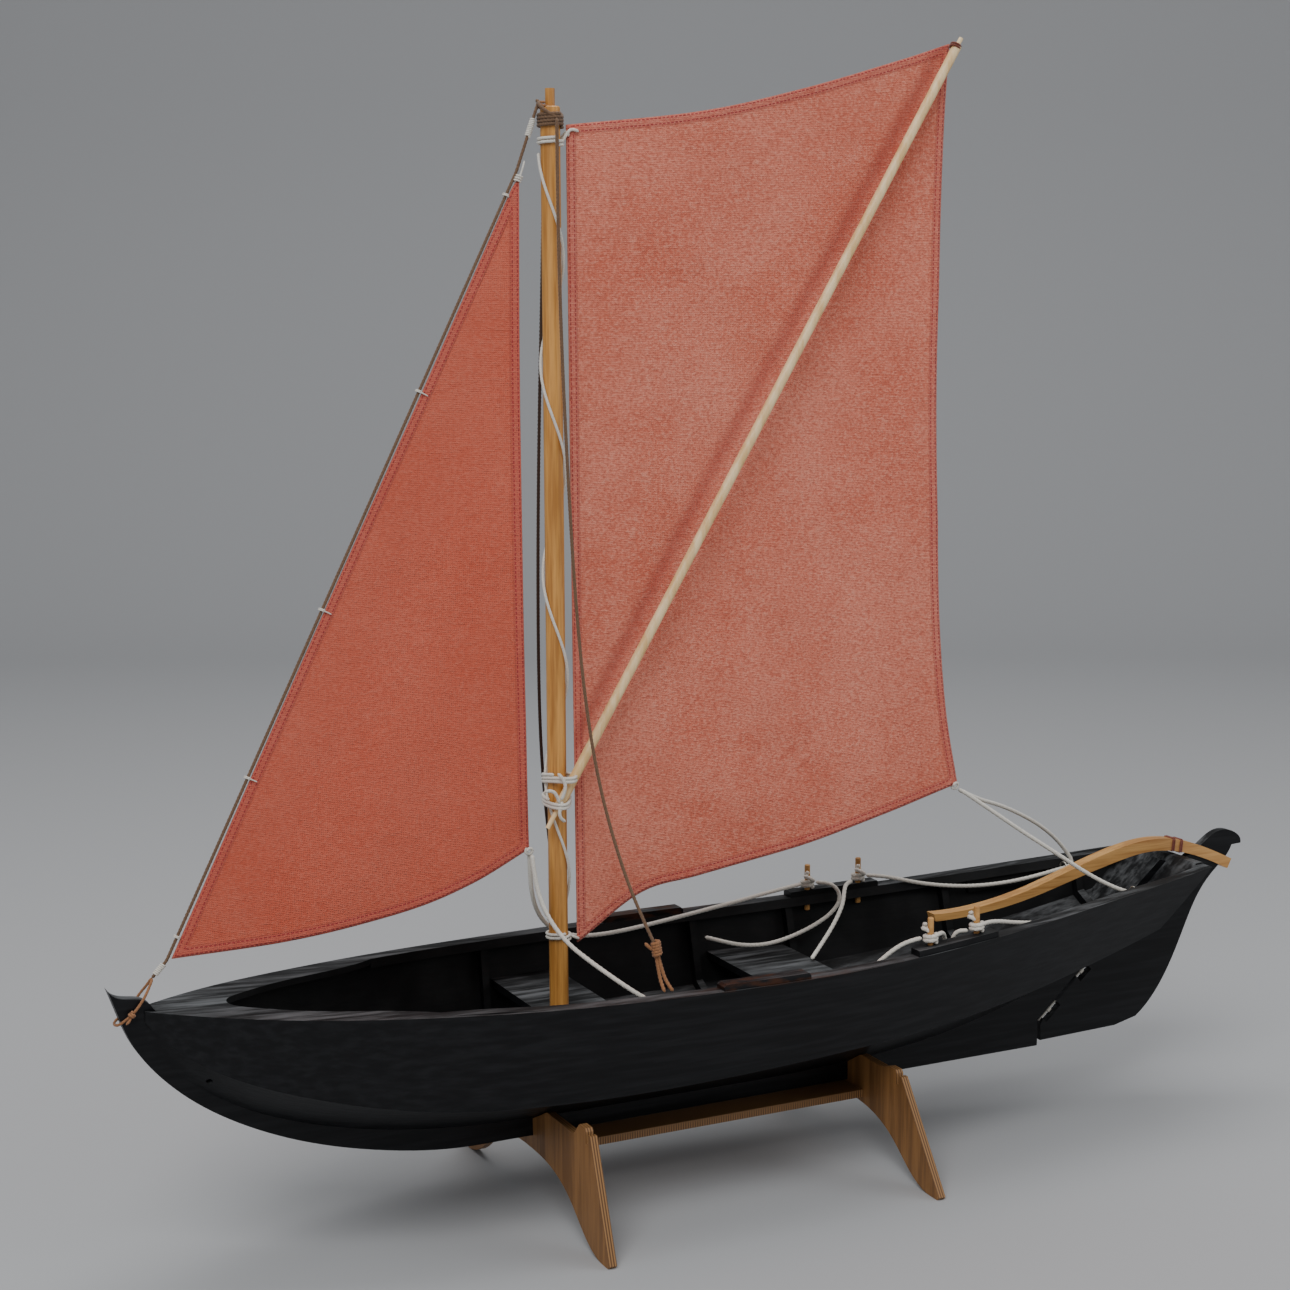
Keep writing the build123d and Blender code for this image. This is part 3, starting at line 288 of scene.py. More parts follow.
def sailcloth():
    m = Nodes("sailcloth")
    where = m.position()
    split = m.add("ShaderNodeSeparateXYZ", {"Vector": where})
    uv = m.add("ShaderNodeSeparateXYZ", {"Vector": m.add("ShaderNodeUVMap", uv_map="edges").outputs[0]})
    edge, run = uv.outputs[0], uv.outputs[1]
    waves = []
    for axis, period in (("X", 0.0013), ("Z", 0.0011)):
        wave = m.add("ShaderNodeTexWave", {"Vector": where, "Scale": 0.314 / period, "Distortion": 3.0,
                                           "Detail": 2.0, "Detail Scale": 1.4}, bands_direction=axis)
        waves.append(wave.outputs["Fac"])
    weave = m.math("MULTIPLY", waves[0], waves[1])
    slubs = m.noise(where, 420, 3, (0.35, 1, 1), 0.7)
    slubs_up = m.noise(where, 420, 3, (1, 1, 0.35), 0.7)
    speck = m.math("ADD", m.math("MULTIPLY", slubs, 0.5), m.math("MULTIPLY", slubs_up, 0.5))
    broad = m.noise(where, 7, 4, roughness=0.6)
    patchy = m.noise(where, 28, 4, roughness=0.6)
    colour = m.mix(m.ramp(broad, 0.33, 0.68), (0.740, 0.170, 0.096, 1), (0.890, 0.275, 0.178, 1))
    colour = m.mix(m.math("MULTIPLY", m.ramp(patchy, 0.40, 0.72), 0.30), colour, (0.90, 0.290, 0.190, 1))
    colour = m.mix(m.math("MULTIPLY", m.ramp(speck, 0.42, 0.66), 0.35), colour, (0.93, 0.360, 0.250, 1))
    colour = m.mix(m.math("MULTIPLY", m.ramp(weave, 0.02, 0.0), 0.35), colour, (0.40, 0.075, 0.05, 1))
    fibres = m.noise(where, 760, 2, (0.6, 1, 1), 0.65)
    colour = m.mix(m.math("MULTIPLY", m.math("SUBTRACT", 1.0, m.ramp(fibres, 0.34, 0.52)), 0.50), colour,
                   (0.50, 0.080, 0.042, 1))
    colour = m.mix(m.math("MULTIPLY", m.ramp(fibres, 0.50, 0.68), 0.38), colour, (0.97, 0.440, 0.320, 1))
    # the jib is a little deeper
    fore = m.math("SUBTRACT", 1.0, m.ramp(split.outputs[0], -0.150, -0.145))
    colour = m.mix(m.math("MULTIPLY", fore, 0.66), colour, (0.640, 0.096, 0.046, 1))
    # a darker streak beside the sprit
    off_x = m.math("MULTIPLY", m.math("ADD", split.outputs[0], 0.137), 0.8529)
    off_z = m.math("MULTIPLY", m.math("SUBTRACT", split.outputs[2], 0.256), 0.5221)
    beside = m.math("SUBTRACT", off_z, off_x)
    mark = m.math("SUBTRACT", 1.0, m.ramp(m.math("ABSOLUTE", m.math("SUBTRACT", beside, 0.007)), 0.0, 0.009))
    mark = m.math("MULTIPLY", mark, m.ramp(split.outputs[0], -0.128, -0.118))
    colour = m.mix(m.math("MULTIPLY", mark, 0.50), colour, (0.40, 0.055, 0.038, 1))
    hem = m.math("SUBTRACT", 1.0, m.ramp(edge, 0.0052, 0.0062))
    colour = m.mix(m.math("MULTIPLY", hem, 0.30), colour, (0.56, 0.115, 0.095, 1))
    # painted shade: a thin darker line along the fold at the inner edge of the hem
    past_crease = m.math("SUBTRACT", 1.0, m.ramp(edge, 0.0060, 0.0068))
    crease = m.math("MULTIPLY", m.ramp(edge, 0.0050, 0.0056), past_crease)
    colour = m.mix(m.math("MULTIPLY", crease, 0.35), colour, (0.34, 0.05, 0.035, 1))
    stitched = None
    for line in (0.0012, 0.0046):
        off_line = m.math("ABSOLUTE", m.math("SUBTRACT", edge, line))
        on_line = m.math("SUBTRACT", 1.0, m.ramp(off_line, 0.00028, 0.0005))
        dash = m.math("SUBTRACT", 1.0, m.ramp(m.math("PINGPONG", run, 0.0014), 0.0008, 0.00105))
        stitch = m.math("MULTIPLY", on_line, dash)
        stitched = stitch if stitched is None else m.math("MAXIMUM", stitched, stitch)
    colour = m.mix(m.math("MULTIPLY", stitched, 0.85), colour, (0.36, 0.018, 0.028, 1))
    bumps = m.bump(weave, 0.8, 0.0005)
    bumps = m.bump(speck, 0.8, 0.0010, bumps)
    bumps = m.bump(fibres, 0.6, 0.0007, bumps)
    creases = m.noise(where, 34, 3, (1, 1, 1), 0.55)
    bumps = m.bump(creases, 0.45, 0.0035, bumps)
    bumps = m.bump(stitched, -0.4, 0.0004, bumps)
    m.shader.inputs["Sheen Weight"].default_value = 0.15
    return m.finish(colour, 0.92, bumps)


def metal(name, colour, rough):
    m = Nodes(name)
    m.shader.inputs["Metallic"].default_value = 1.0
    grain = m.noise(m.position(), 900, 2)
    return m.finish(colour, m.math("ADD", rough, m.math("MULTIPLY", grain, 0.15)))


BLACK = painted_black()
HONEY = clear_wood("honey_wood", (0.43, 0.180, 0.036, 1), (0.74, 0.360, 0.090, 1), 2, 0.42)
TILLER = clear_wood("tiller_wood", (0.42, 0.19, 0.05, 1), (0.66, 0.36, 0.12, 1), 0, 0.38)
PALE = clear_wood("pale_wood", (0.78, 0.50, 0.215, 1), (0.95, 0.73, 0.42, 1), 2, 0.45, 120)
PLY = plywood()
WHITE = thread("white_cord", (0.56, 0.52, 0.44, 1), (0.86, 0.83, 0.76, 1))
BROWN = thread("brown_twine", (0.075, 0.040, 0.020, 1), (0.23, 0.125, 0.062, 1), 0.75, 0.2)
DARK = thread("dark_twine", (0.028, 0.017, 0.011, 1), (0.085, 0.050, 0.032, 1), 0.8, 0.1)
ORANGE = thread("orange_twine", (0.20, 0.075, 0.025, 1), (0.42, 0.19, 0.075, 1), 0.75, 0.2)
RED = thread("red_thread", (0.12, 0.022, 0.012, 1), (0.25, 0.06, 0.03, 1))
CLOTH = sailcloth()
WIRE = metal("dull_wire", (0.55, 0.52, 0.46, 1), 0.35)

BLACK_NODES = ("keel", "stem", "skeg", "side_plank_port", "side_plank_starboard", "bottom_plank_port",
               "bottom_plank_starboard", "transom", "stern_knee", "foredeck", "inwale_port", "inwale_starboard",
               "frame_1", "frame_2", "frame_3", "frame_4", "frame_5", "mast_thwart", "middle_thwart", "mast_step",
               "quarter_blocks", "rail_pads", "rudder_blade")
PAINT = {name: BLACK for name in BLACK_NODES}
PAINT.update({"mast": HONEY, "belaying_pins": TILLER, "tiller": TILLER, "sprit": PALE, "cradle_front": PLY,
              "cradle_rear": PLY, "stretcher": PLY, "gudgeons": WIRE, "pintles": WIRE, "sheet_eyes": WIRE})
for name, material in PAINT.items():
    node = NODES[name]
    node.data.materials.clear()
    node.data.materials.append(material)

# ---- free cords: the same points as the CAD, in metres ----
CORDS = {
    "main_sheet_starboard": [(171, 2, 237), (191, 9, 227), (215, 18, 219), (240, 27, 208), (263, 35, 196),
                             (282, 41, 183), (294, 43, 171), (299, 41.5, 163), (295, 40.3, 160), (286, 40.3, 159),
                             (268, 44, 155), (245, 49, 151.5), (218, 53.5, 151), (194, 58, 153.5),
                             (174, 61.5, 157.5), (158, 65.5, 162), (147, 69.5, 163.7), (140.8, 72.6, 163.9)],
    "main_sheet_port": [(171, -2, 237), (190, -8.5, 223), (213, -16, 206), (236, -24, 190), (256, -31, 175.5),
                        (273, -37, 165.5), (286, -40.2, 160.3), (295, -40.2, 158), (297, -41, 152),
                        (290, -42.5, 149.5), (274, -45, 149), (252, -48.5, 149.5), (226, -53, 151),
                        (196, -58, 154), (174, -61.5, 158), (158, -65.5, 162), (147, -69.5, 163.7),
                        (140.8, -72.6, 163.9)],
    "jib_sheet_port": [(-150.5, -2, 228), (-150, -4.5, 214), (-148, -9.5, 199), (-144, -18, 186), (-138, -31, 175),
                       (-130, -47, 167), (-121, -62, 159), (-108, -71, 149), (-92, -75, 140), (-73, -75.5, 134),
                       (-50, -75, 130.5), (-25, -74.5, 129), (0, -74, 129.5), (22, -73.5, 132), (42, -73, 138),
                       (58, -72.5, 147), (71, -73.5, 156), (81, -75.8, 161), (90.2, -77.6, 162.3)],
    "jib_sheet_starboard": [(-150.5, 2, 228), (-149, 5, 210), (-144, 11, 192), (-134, 18, 177), (-120, 22.5, 167),
                            (-102, 26, 162), (-75, 32, 160), (-30, 44.5, 160), (20, 58, 161), (55, 67.5, 162),
                            (76, 73.7, 162.3), (90.2, 77.6, 162.3)],
    "jib_tail_starboard": [(101.8, 77, 162.3), (110, 73, 162.5), (116, 69, 157), (116, 67, 149), (109, 67.5, 141),
                           (98, 68, 135), (84, 67, 130.5), (66, 63, 128), (48, 59, 128), (31, 58, 130.5),
                           (18, 62, 134), (8, 67, 137)],
    "main_tail_starboard": [(129.2, 72.9, 160.9), (122, 68.5, 161.5), (116, 61.5, 158), (111, 54.5, 151.5),
                            (103, 49, 143.5), (94, 44, 136), (85, 39, 130), (77, 33, 126.5), (69, 26, 124.2)],
    "jib_tail_port": [(101.8, -77, 162.3), (108, -73.5, 163), (113, -69.5, 159.5), (115.5, -67, 151),
                      (116, -66, 141), (115, -65.5, 134)],
    "main_tail_port": [(129.2, -72.9, 160.9), (124, -69.5, 161.5), (121, -67, 156), (121, -65.5, 147),
                       (124, -64.5, 138), (128, -64, 130)],
}
CORD_D = 0.003


def metres(points):
    return [tuple(v / 1000 for v in p) for p in points]


for name, points in CORDS.items():
    path = b_spline(metres(points))
    piece = rope("cord_" + name, [path], CORD_D / 2, WHITE, pitch=0.0105)
    if name.startswith("main_sheet"):
        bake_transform(piece)
    elif name.startswith("jib_sheet"):
        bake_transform(piece)
    else:
        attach(piece, "hull")
    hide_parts(name)

# ---- sails ----


def through(points, count):
    """A smooth curve through points, sampled evenly."""
    p = np.array(points, float)
    if len(p) == 2:
        return p[0] + (p[1] - p[0]) * np.linspace(0, 1, count)[:, None]
    ext = np.vstack([2 * p[0] - p[1], p, 2 * p[-1] - p[-2]])
    out = []
    for i in range(len(p) - 1):
        a, b, c, d = ext[i], ext[i + 1], ext[i + 2], ext[i + 3]
        for t in np.linspace(0, 1, 30, endpoint=(i == len(p) - 2)):
            out.append(0.5 * (2 * b + (c - a) * t + (2 * a - 5 * b + 4 * c - d) * t**2
                              + (3 * b - a - 3 * c + d) * t**3))
    out = np.array(out)
    s = np.concatenate([[0], np.cumsum(np.linalg.norm(np.diff(out, axis=0), axis=1))])
    at = np.linspace(0, s[-1], count)
    return np.stack([np.interp(at, s, out[:, k]) for k in range(out.shape[1])], axis=1)


def sail(name, luff, leech, foot, head, columns, rows, belly, thickness=0.0006):
    """A sail as a thin closed mesh from its four edges, drawn in X, Z millimetres."""
    u, v = np.linspace(0, 1, columns), np.linspace(0, 1, rows)
    left, right_edge = through(luff, rows), through(leech, rows)
    low, high = through(foot, columns), through(head, columns)
    grid = np.zeros((rows, columns, 2))
    for j in range(rows):
        for i in range(columns):
            a, b = u[i], v[j]
            corners = (1 - a) * (1 - b) * low[0] + a * (1 - b) * low[-1]
            corners = corners + (1 - a) * b * high[0] + a * b * high[-1]
            grid[j, i] = (1 - b) * low[i] + b * high[i] + (1 - a) * left[j] + a * right_edge[j] - corners
    flat = grid.reshape(-1, 2)
    best = np.full(len(flat), 1e9)
    run = np.zeros(len(flat))
    start = 0.0
    for edge in (left, high, right_edge, low):
        seg = np.diff(edge, axis=0)
        lengths = np.linalg.norm(seg, axis=1)
        cumulative = np.concatenate([[0], np.cumsum(lengths)])
        for k in range(len(seg)):
            if lengths[k] < 1e-6:
                continue
            t = np.clip(((flat - edge[k]) @ seg[k]) / lengths[k] ** 2, 0, 1)
            d = np.linalg.norm(flat - edge[k] - t[:, None] * seg[k], axis=1)
            better = d < best
            best[better] = d[better]
            run[better] = start + cumulative[k] + t[better] * lengths[k]
        start += cumulative[-1]
    uu, vv = np.tile(u, rows), np.repeat(v, columns)
    y = belly(uu, vv, flat)
    hem = np.where(best < 5.6, 0.35, 0.0)
    half = thickness * 1000 / 2 + hem
    n = len(flat)
    verts = [(flat[k][0] / 1000, (y[k] - half[k]) / 1000, flat[k][1] / 1000) for k in range(n)]
    verts += [(flat[k][0] / 1000, (y[k] + half[k]) / 1000, flat[k][1] / 1000) for k in range(n)]
    faces = []
    for j in range(rows - 1):
        for i in range(columns - 1):
            a = j * columns + i
            faces.append((a, a + 1, a + columns + 1, a + columns))
            faces.append((a + n, a + columns + n, a + columns + 1 + n, a + 1 + n))
    ring = [i for i in range(columns)] + [j * columns + columns - 1 for j in range(1, rows)]
    ring += [(rows - 1) * columns + i for i in range(columns - 2, -1, -1)]
    ring += [j * columns for j in range(rows - 2, 0, -1)]
    for a, b in zip(ring, ring[1:] + ring[:1]):
        faces.append((b, a, a + n, b + n))
    piece = new_mesh(name, verts, faces, CLOTH)
    layer = piece.data.uv_layers.new(name="edges")
    loops = np.zeros(len(piece.data.loops), dtype=np.int64)
    piece.data.loops.foreach_get("vertex_index", loops)
    values = np.stack([best[loops % n] / 1000, run[loops % n] / 1000], axis=1)
    layer.data.foreach_set("uv", values.astype(np.float32).ravel())
    return piece


def main_belly(u, v, flat):
    full = 7.0 * np.sin(math.pi * np.clip(u, 0, 1)) * np.sin(math.pi * np.clip(v, 0, 1)) ** 0.8
    ripple = 0.9 * np.sin(flat[:, 0] / 17 + flat[:, 1] / 31) * np.sin(flat[:, 1] / 23) * np.sin(math.pi * u)
    flutter = 2.2 * np.sin(v * 9) * u**6
    return np.maximum(full + ripple + flutter, -0.4)


def jib_belly(u, v, flat):
    full = 5.0 * np.sin(math.pi * u) * (1 - v) ** 0.7 * np.sin(math.pi * np.clip(v * 0.9 + 0.1, 0, 1))
    ripple = 0.7 * np.sin(flat[:, 0] / 15 - flat[:, 1] / 27) * np.sin(math.pi * u) * (1 - v)
    return full + ripple + 2.0 * np.sin(v * 8 + 1) * u**5 * (1 - v)


mainsail = sail("sail_main", [(-119, 167), (-120.5, 400), (-121.5, 675)],
                [(168, 242), (158, 301), (150, 397), (146, 524), (150, 667), (153, 735)],
                [(-119, 167), (-74, 194), (-31, 201), (44, 212), (106, 226), (168, 242)],
                [(-121.5, 675), (-31, 686), (41, 702), (115, 723), (153, 735)], 145, 240, main_belly)
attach(mainsail, "mainsail")
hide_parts("mainsail")
jib = sail("sail_jib", [(-379, 191), (-321, 308.5), (-260, 431), (-215, 520.5), (-157.5, 636.5)],
           [(-151, 231), (-152, 295), (-154, 389), (-154, 511), (-153, 643)],
           [(-379, 191), (-310, 192), (-238, 200), (-191, 213), (-151, 231)],
           [(-157.5, 636.5), (-153, 643)], 110, 210, jib_belly)
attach(jib, "jib")
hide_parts("jib")


# ---- standing rigging and lashings ----
def helix(centre, axis, radius, turns, length, start=0.0, step=0.0008, squash=1.0):
    """A helix round a line through centre, going length along axis."""
    axis = np.array(axis, float) / np.linalg.norm(axis)
    ref = np.array([0, 0, 1.0]) if abs(axis[2]) < 0.9 else np.array([1.0, 0, 0])
    a = np.cross(ref, axis)
    a /= np.linalg.norm(a)
    b = np.cross(axis, a)
    count = max(int(2 * math.pi * radius * turns / step), 24)
    t = np.linspace(0, 1, count + 1)
    angle = 2 * math.pi * turns * t + start
    return (np.array(centre) + np.outer(t * length, axis) + np.outer(radius * np.cos(angle), a)
            + np.outer(radius * squash * np.sin(angle), b))


# radius of a turn of mast lashing, and how each kind of line is laid
ROUND_MAST = 0.0073
TWINE = {"pitch": 0.0048, "strands": 2, "sides": 12, "depth": 0.3}
LINE = {"pitch": 0.006, "sides": 12}


def dress(piece, body, slot, *replaced):
    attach(piece, body)
    if replaced:
        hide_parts(*replaced)
    return piece


MAST_X = -0.132
STAY_TOP, STAY_HEAD = np.array([-0.1395, 0, 0.6880]), np.array([-0.1546, 0, 0.6462])
STAY_TACK, STAY_FOOT = np.array([-0.3822, 0, 0.1900]), np.array([-0.3910, 0, 0.1810])


def between(low, high, share, y=0.0):
    return low + (high - low) * share + np.array([0, y, 0])


def winding(low, high, first, last, radius, pitch):
    """Turns round the stay between two shares of one of its runs."""
    run = high - low
    length = np.linalg.norm(run) * (last - first)
    return helix(between(low, high, first), run, radius, length / pitch, length)


luff = STAY_HEAD - STAY_TACK
luff_axis = luff / np.linalg.norm(luff)
stay_path = resample([STAY_FOOT, STAY_TACK, STAY_HEAD, STAY_TOP], 0.0008)
dress(rope("stay", [smooth(stay_path, 6)], 0.00105, BROWN, **TWINE), "hull", "brown_twine", "forestay")
whips = [winding(STAY_FOOT, STAY_TACK, 0.20, 0.80, 0.0014, 0.0011),
         winding(STAY_HEAD, STAY_TOP, 0.50, 0.75, 0.0014, 0.0011)]
dress(rope("stay_whips", whips, 0.00055, WHITE, sides=8), "hull", "white_cord", "stay_whippings")
ROBANDS = (0.03, 0.228, 0.439, 0.717, 0.97)
robands = []
for share in ROBANDS:
    below = between(STAY_TACK, STAY_HEAD, share) - luff_axis * 0.0006
    robands.append(helix(below, luff_axis, 0.0019, 1.6, 0.0012, 0.4))
robands += [resample([between(STAY_TACK, STAY_HEAD, share, -0.0017),
                      between(STAY_TACK, STAY_HEAD, share, -0.0012) + np.array([0.0055, 0, -0.0028])], 0.0008)
            for share in ROBANDS[1:4]]
dress(rope("luff_robands", robands, 0.00042, WHITE, sides=8), "jib", "white_cord", "jib_robands")
jib_head = [helix((-0.1545, 0, 0.6405), (0.45, 0, 0.89), 0.0022, 3, 0.0045)]
jib_head.append(b_spline([(-0.1535, -0.0012, 0.642), (-0.1515, -0.003, 0.648), (-0.1500, -0.002, 0.653)]))
dress(rope("jib_head_tie", jib_head, 0.0006, WHITE, sides=8), "jib", "white_cord")

# the forestay's tail round the stem head
tail = b_spline(metres([(-391, -1.2, 181), (-393.5, -3.0, 176.5), (-397, -5.4, 171.5), (-401, -5.7, 166),
                        (-404.5, -5.8, 162.5)]))
front = b_spline(metres([(-404.5, -6.0, 162.5), (-409, -5.4, 159), (-413, -4.2, 156.5), (-414, 0, 156),
                         (-413, 4.2, 156.5), (-409, 5.4, 159), (-403, 5.4, 164), (-397, 5.4, 171.5),
                         (-393.5, 2.6, 176.5), (-391, 0.6, 181)]))
knot = [helix((-0.4058, -0.0064, 0.1616), (0.75, 0, 0.66), 0.0013, 2.4, 0.0026)]
ends = [b_spline(metres([(-405.5, -6.9, 161), (-407, -7.8, 159), (-409, -8.0, 157.5)]))]
dress(rope("stem_lashing_rope", [tail, front] + knot + ends, 0.00090, ORANGE, **{**TWINE, "pitch": 0.0044}), "hull",
      "brown_twine", "stem_lashing")

# masthead: turns of brown twine and the stay's loop
mast_turns = [helix((MAST_X, 0, 0.6725 + 0.0006), (0, 0, 1), 0.0072, 4, 0.008, 0.7)]
mast_turns.append(b_spline(metres([(-139.5, 0, 688), (-141, -3, 686), (-137.5, -6.5, 682), (-132, -7.4, 679),
                                   (-126, -4.5, 679.5), (-124.6, 0, 681), (-126, 4.5, 683), (-132, 7.4, 685),
                                   (-137.5, 5, 688), (-140, 2, 689), (-139.5, 0, 688)])))
dress(rope("masthead_turns", mast_turns, 0.00115, BROWN, **TWINE), "hull", "brown_twine", "masthead_lashing")
loop = helix((-0.1372, 0, 0.6835), (0.25, 0, 0.97), 0.0030, 2, 0.004)
dress(rope("masthead_loop", [loop], 0.0009, ORANGE, **TWINE), "hull", "brown_twine")

SHROUDS = {
    "port": [(-132, -9.9, 678), (-132, -9.9, 630), (-131.5, -10.6, 575), (-130.5, -12.6, 515), (-129, -15.6, 455),
             (-127.5, -19.6, 395), (-125, -26, 335), (-121, -34.5, 285), (-115, -46, 243), (-107, -60, 205),
             (-100, -72, 182)],
    "starboard": [(-132, 9.9, 678), (-132.5, 10.5, 630), (-133, 13, 575), (-133, 18, 515), (-132, 24, 455),
                  (-130, 31, 395), (-127, 38.5, 335), (-122.5, 46.5, 285), (-115.5, 56, 243), (-107.5, 65.5, 205),
                  (-101, 73, 182)],
}
for way, points in SHROUDS.items():
    sign = -1 if way == "port" else 1
    path = b_spline(metres(points))
    colour = DARK if way == "starboard" else BROWN
    dress(rope("shroud_rope_" + way, [path], 0.00115, colour, **TWINE), "hull", "brown_twine", "shroud_" + way)
    knotted = [helix((-0.0998, 0.0730 * sign, 0.1835), (0.1, 0.14 * sign, -1), 0.0022, 5, 0.0085)]
    knotted.append(b_spline(metres([(-99.6, 73 * sign, 176), (-98.8, 75 * sign, 166), (-98.4, 78 * sign, 158),
                                    (-98, 82 * sign, 153.8)])))
    knotted.append(b_spline(metres([(-98.4, 73.6 * sign, 175), (-97, 76 * sign, 166), (-95, 79 * sign, 158),
                                    (-92.6, 82.6 * sign, 153.8)])))
    knotted.append(b_spline(metres([(-100.5, 73 * sign, 178), (-104, 72 * sign, 180), (-106, 71 * sign, 183)])))
    stands_for = ("shroud_lanyards",) if way == "port" else ()
    dress(rope("shroud_knot_" + way, knotted, 0.00125, ORANGE, **TWINE), "hull", "brown_twine", *stands_for)

# luff lacing and the small white lashings on the mast
low_z, high_z, pitch_z = 0.182, 0.658, 0.128
t = np.linspace(0, (high_z - low_z) / pitch_z, 500)
angle = math.radians(59) - 2 * math.pi * t
lacing = [MAST_X + ROUND_MAST * np.cos(angle), ROUND_MAST * np.sin(angle), low_z + pitch_z * t]
lacing = np.stack(lacing, axis=1)
dress(rope("lacing", [resample(lacing, 0.0009)], 0.00095, WHITE, **LINE), "mainsail", "white_cord", "luff_lacing")
throat = [helix((MAST_X, 0, 0.6625), (0, 0, 1), ROUND_MAST, 2, 0.0045, 0.3)]
throat.append(b_spline(metres([(-125, -2.5, 665), (-122, -2.0, 670), (-118.5, -1.6, 673), (-114, -1.8, 671)])))
throat.append(b_spline(metres([(-126, 3, 664), (-122.5, 2, 669), (-120.5, 0, 672), (-121, -2, 668)])))
dress(rope("throat_tie", throat, 0.0010, WHITE, **LINE), "mainsail", "white_cord", "throat_lashing")
tack = [helix((MAST_X, 0, 0.1712), (0, 0, 1), ROUND_MAST, 2, 0.0045, 0.3)]
tack.append(b_spline(metres([(-125, -2.5, 173), (-121, -2.2, 171), (-118, -1.4, 169.5), (-119.5, 1.5, 170)])))
dress(rope("tack_tie", tack, 0.0010, WHITE, **LINE), "mainsail", "white_cord", "tack_lashing")
heel = []
for z, turns, tilt in ((0.2585, 2.6, 1.0), (0.2725, 2.6, -1.0)):
    ring = []
    for k in range(90):
        a = 2 * math.pi * turns * k / 89
        cx, cy = math.cos(a), math.sin(a)
        reach = 0.0088 + (0.0088 if cy < 0 else 0.0) * abs(cy) ** 1.5
        slide = -0.003 if z < 0.265 else 0.003
        ring.append((MAST_X + 0.0088 * cx + slide * max(-cy, 0), reach * cy,
                     z + 0.0055 * k / 89 + 0.0012 * tilt * cy))
    heel.append(resample(smooth(ring), 0.0009))
heel.append(b_spline(metres([(-137, -14.8, 262), (-139, -15.6, 268), (-143, -15, 271), (-147, -14, 270)])))
heel.append(b_spline(metres([(-136, -15, 264), (-133, -16.2, 270), (-134, -16, 277), (-138, -15, 281)])))
heel.append(b_spline(metres([(-135, -15, 263), (-138, -16.4, 258), (-137, -16, 252), (-133, -15, 250)])))
dress(rope("snotter_turns", heel, 0.00115, WHITE, **LINE), "mainsail", "white_cord", "snotter")
peak = [helix((0.1530, -0.0055, 0.7318), (0.52, 0, 0.85), 0.0032, 2, 0.003)]
peak.append(b_spline(metres([(155, -3.5, 733), (154, -1.5, 733), (152, 0, 732.5)])))
dress(rope("peak_tie", peak, 0.0007, RED, sides=8), "mainsail", "sailcloth")

# belayed turns on the pins
PINS = [(0.096, 0.0789, 0.1576), (0.135, 0.0741, 0.1592)]
turns = []
for px, py, pz in PINS:
    for sign in (-1, 1):
        centre = np.array((px, py * sign, pz))
        ring = helix(centre + np.array([0, 0, 0.0016]), (0, 0, 1), 0.0037, 2.2, 0.0052, 0.5)
        turns.append(ring)
        beside = centre + np.array([-0.0012, -0.0035 * sign, 0.0080])
        hitch = helix(beside, (0.55, 0.0, 0.6), 0.0034, 1.1, 0.0035, 1.2)
        turns.append(hitch)
dress(rope("belay", turns, 0.0015, WHITE, pitch=0.0105), "hull", "white_cord", "sheet_turns")

# red cord let round the tiller
bands = []
for x in (0.354, 0.361):
    z = 0.1795 if x < 0.358 else 0.1777
    half_h, half_w, slant = 0.0044, 0.0049, 0.001
    corner = [(x, -half_w, z + half_h), (x, half_w, z + half_h)]
    corner += [(x - slant, half_w, z - half_h), (x - slant, -half_w, z - half_h)]
    for shift in (-0.0007, 0.0007):
        bands.append(resample([(a + shift, b, c) for a, b, c in corner + corner[:1]], 0.0008))
dress(rope("tiller_cord", bands, 0.0006, RED, sides=8), "rudder", "red_thread", "tiller_bands")

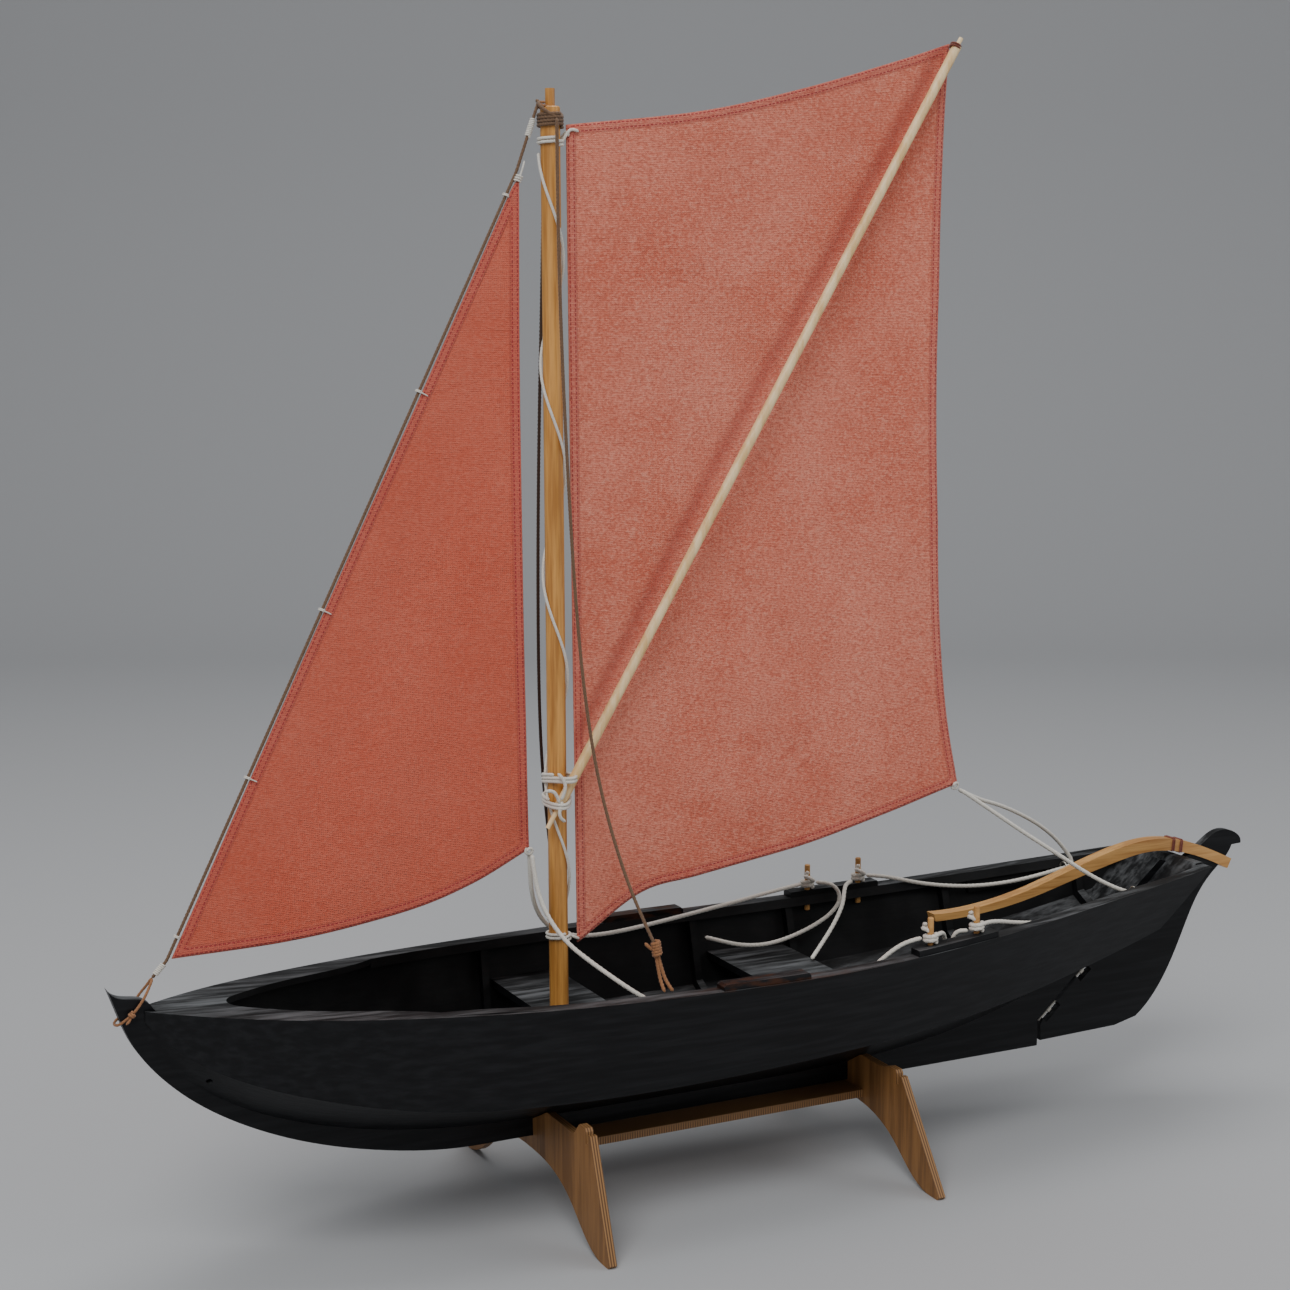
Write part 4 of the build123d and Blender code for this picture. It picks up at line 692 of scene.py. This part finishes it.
# clews: small eyes of cord at the corners of the sails
clew = [helix((0.1665, -0.0016, 0.2405), (0, 1, 0), 0.0022, 1.2, 0.0032)]
dress(rope("clew_eye", clew, 0.0009, WHITE, sides=10), "mainsail", "white_cord")
jib_clew = [helix((-0.1515, -0.0016, 0.2300), (0, 1, 0), 0.0020, 1.2, 0.0032)]
dress(rope("jib_clew_eye", jib_clew, 0.0009, WHITE, sides=10), "jib", "white_cord")

# ---- stage and light ----
stage = Nodes("stage")
stage.finish((0.46, 0.465, 0.475, 1), 0.75)
HALF_FLOOR, FLOOR_NEAR, FLOOR_FAR, WALL_BEND, WALL_TOP = 8, -6, 2.2, 1.0, 7
BEND_STEPS = 14
profile = [(FLOOR_NEAR, 0), (FLOOR_FAR, 0)]
for k in range(1, BEND_STEPS + 1):
    a = math.pi / 2 * k / BEND_STEPS
    profile.append((FLOOR_FAR + WALL_BEND * math.sin(a), WALL_BEND - WALL_BEND * math.cos(a)))
profile.append((FLOOR_FAR + WALL_BEND, WALL_TOP))
verts = [(x, y, z) for y, z in profile for x in (-HALF_FLOOR, HALF_FLOOR)]
faces = [(2 * k, 2 * k + 1, 2 * k + 3, 2 * k + 2) for k in range(len(profile) - 1)]
floor = new_mesh("floor", verts, faces, stage.material)
floor.rotation_euler = (0, 0, -YAW)


def area_light(name, place, target, size, power):
    data = bpy.data.lights.new(name, "AREA")
    data.shape = "RECTANGLE"
    data.size, data.size_y = size
    data.energy = power
    lamp = bpy.data.objects.new(name, data)
    bpy.context.collection.objects.link(lamp)
    lamp.location = place
    lamp.rotation_euler = (Vector(target) - Vector(place)).to_track_quat("-Z", "Y").to_euler()


# name: place, target, size in metres, power in watts
LAMPS = {
    "key": ((-1.3, -1.5, 2.4), (0, 0, 0.3), (1.6, 1.6), 48),
    "over": ((0.2, 0.5, 2.4), (0, 0, 0.2), (1.8, 1.2), 22),
    "fill": ((2.2, -1.4, 1.2), (0, 0, 0.35), (1.4, 1.4), 12),
}
for name, settings in LAMPS.items():
    area_light(name, *settings)
world = bpy.data.worlds.new("world")
world.use_nodes = True
world.node_tree.nodes["Background"].inputs["Color"].default_value = (0.75, 0.77, 0.80, 1)
world.node_tree.nodes["Background"].inputs["Strength"].default_value = 0.42
bpy.context.scene.world = world
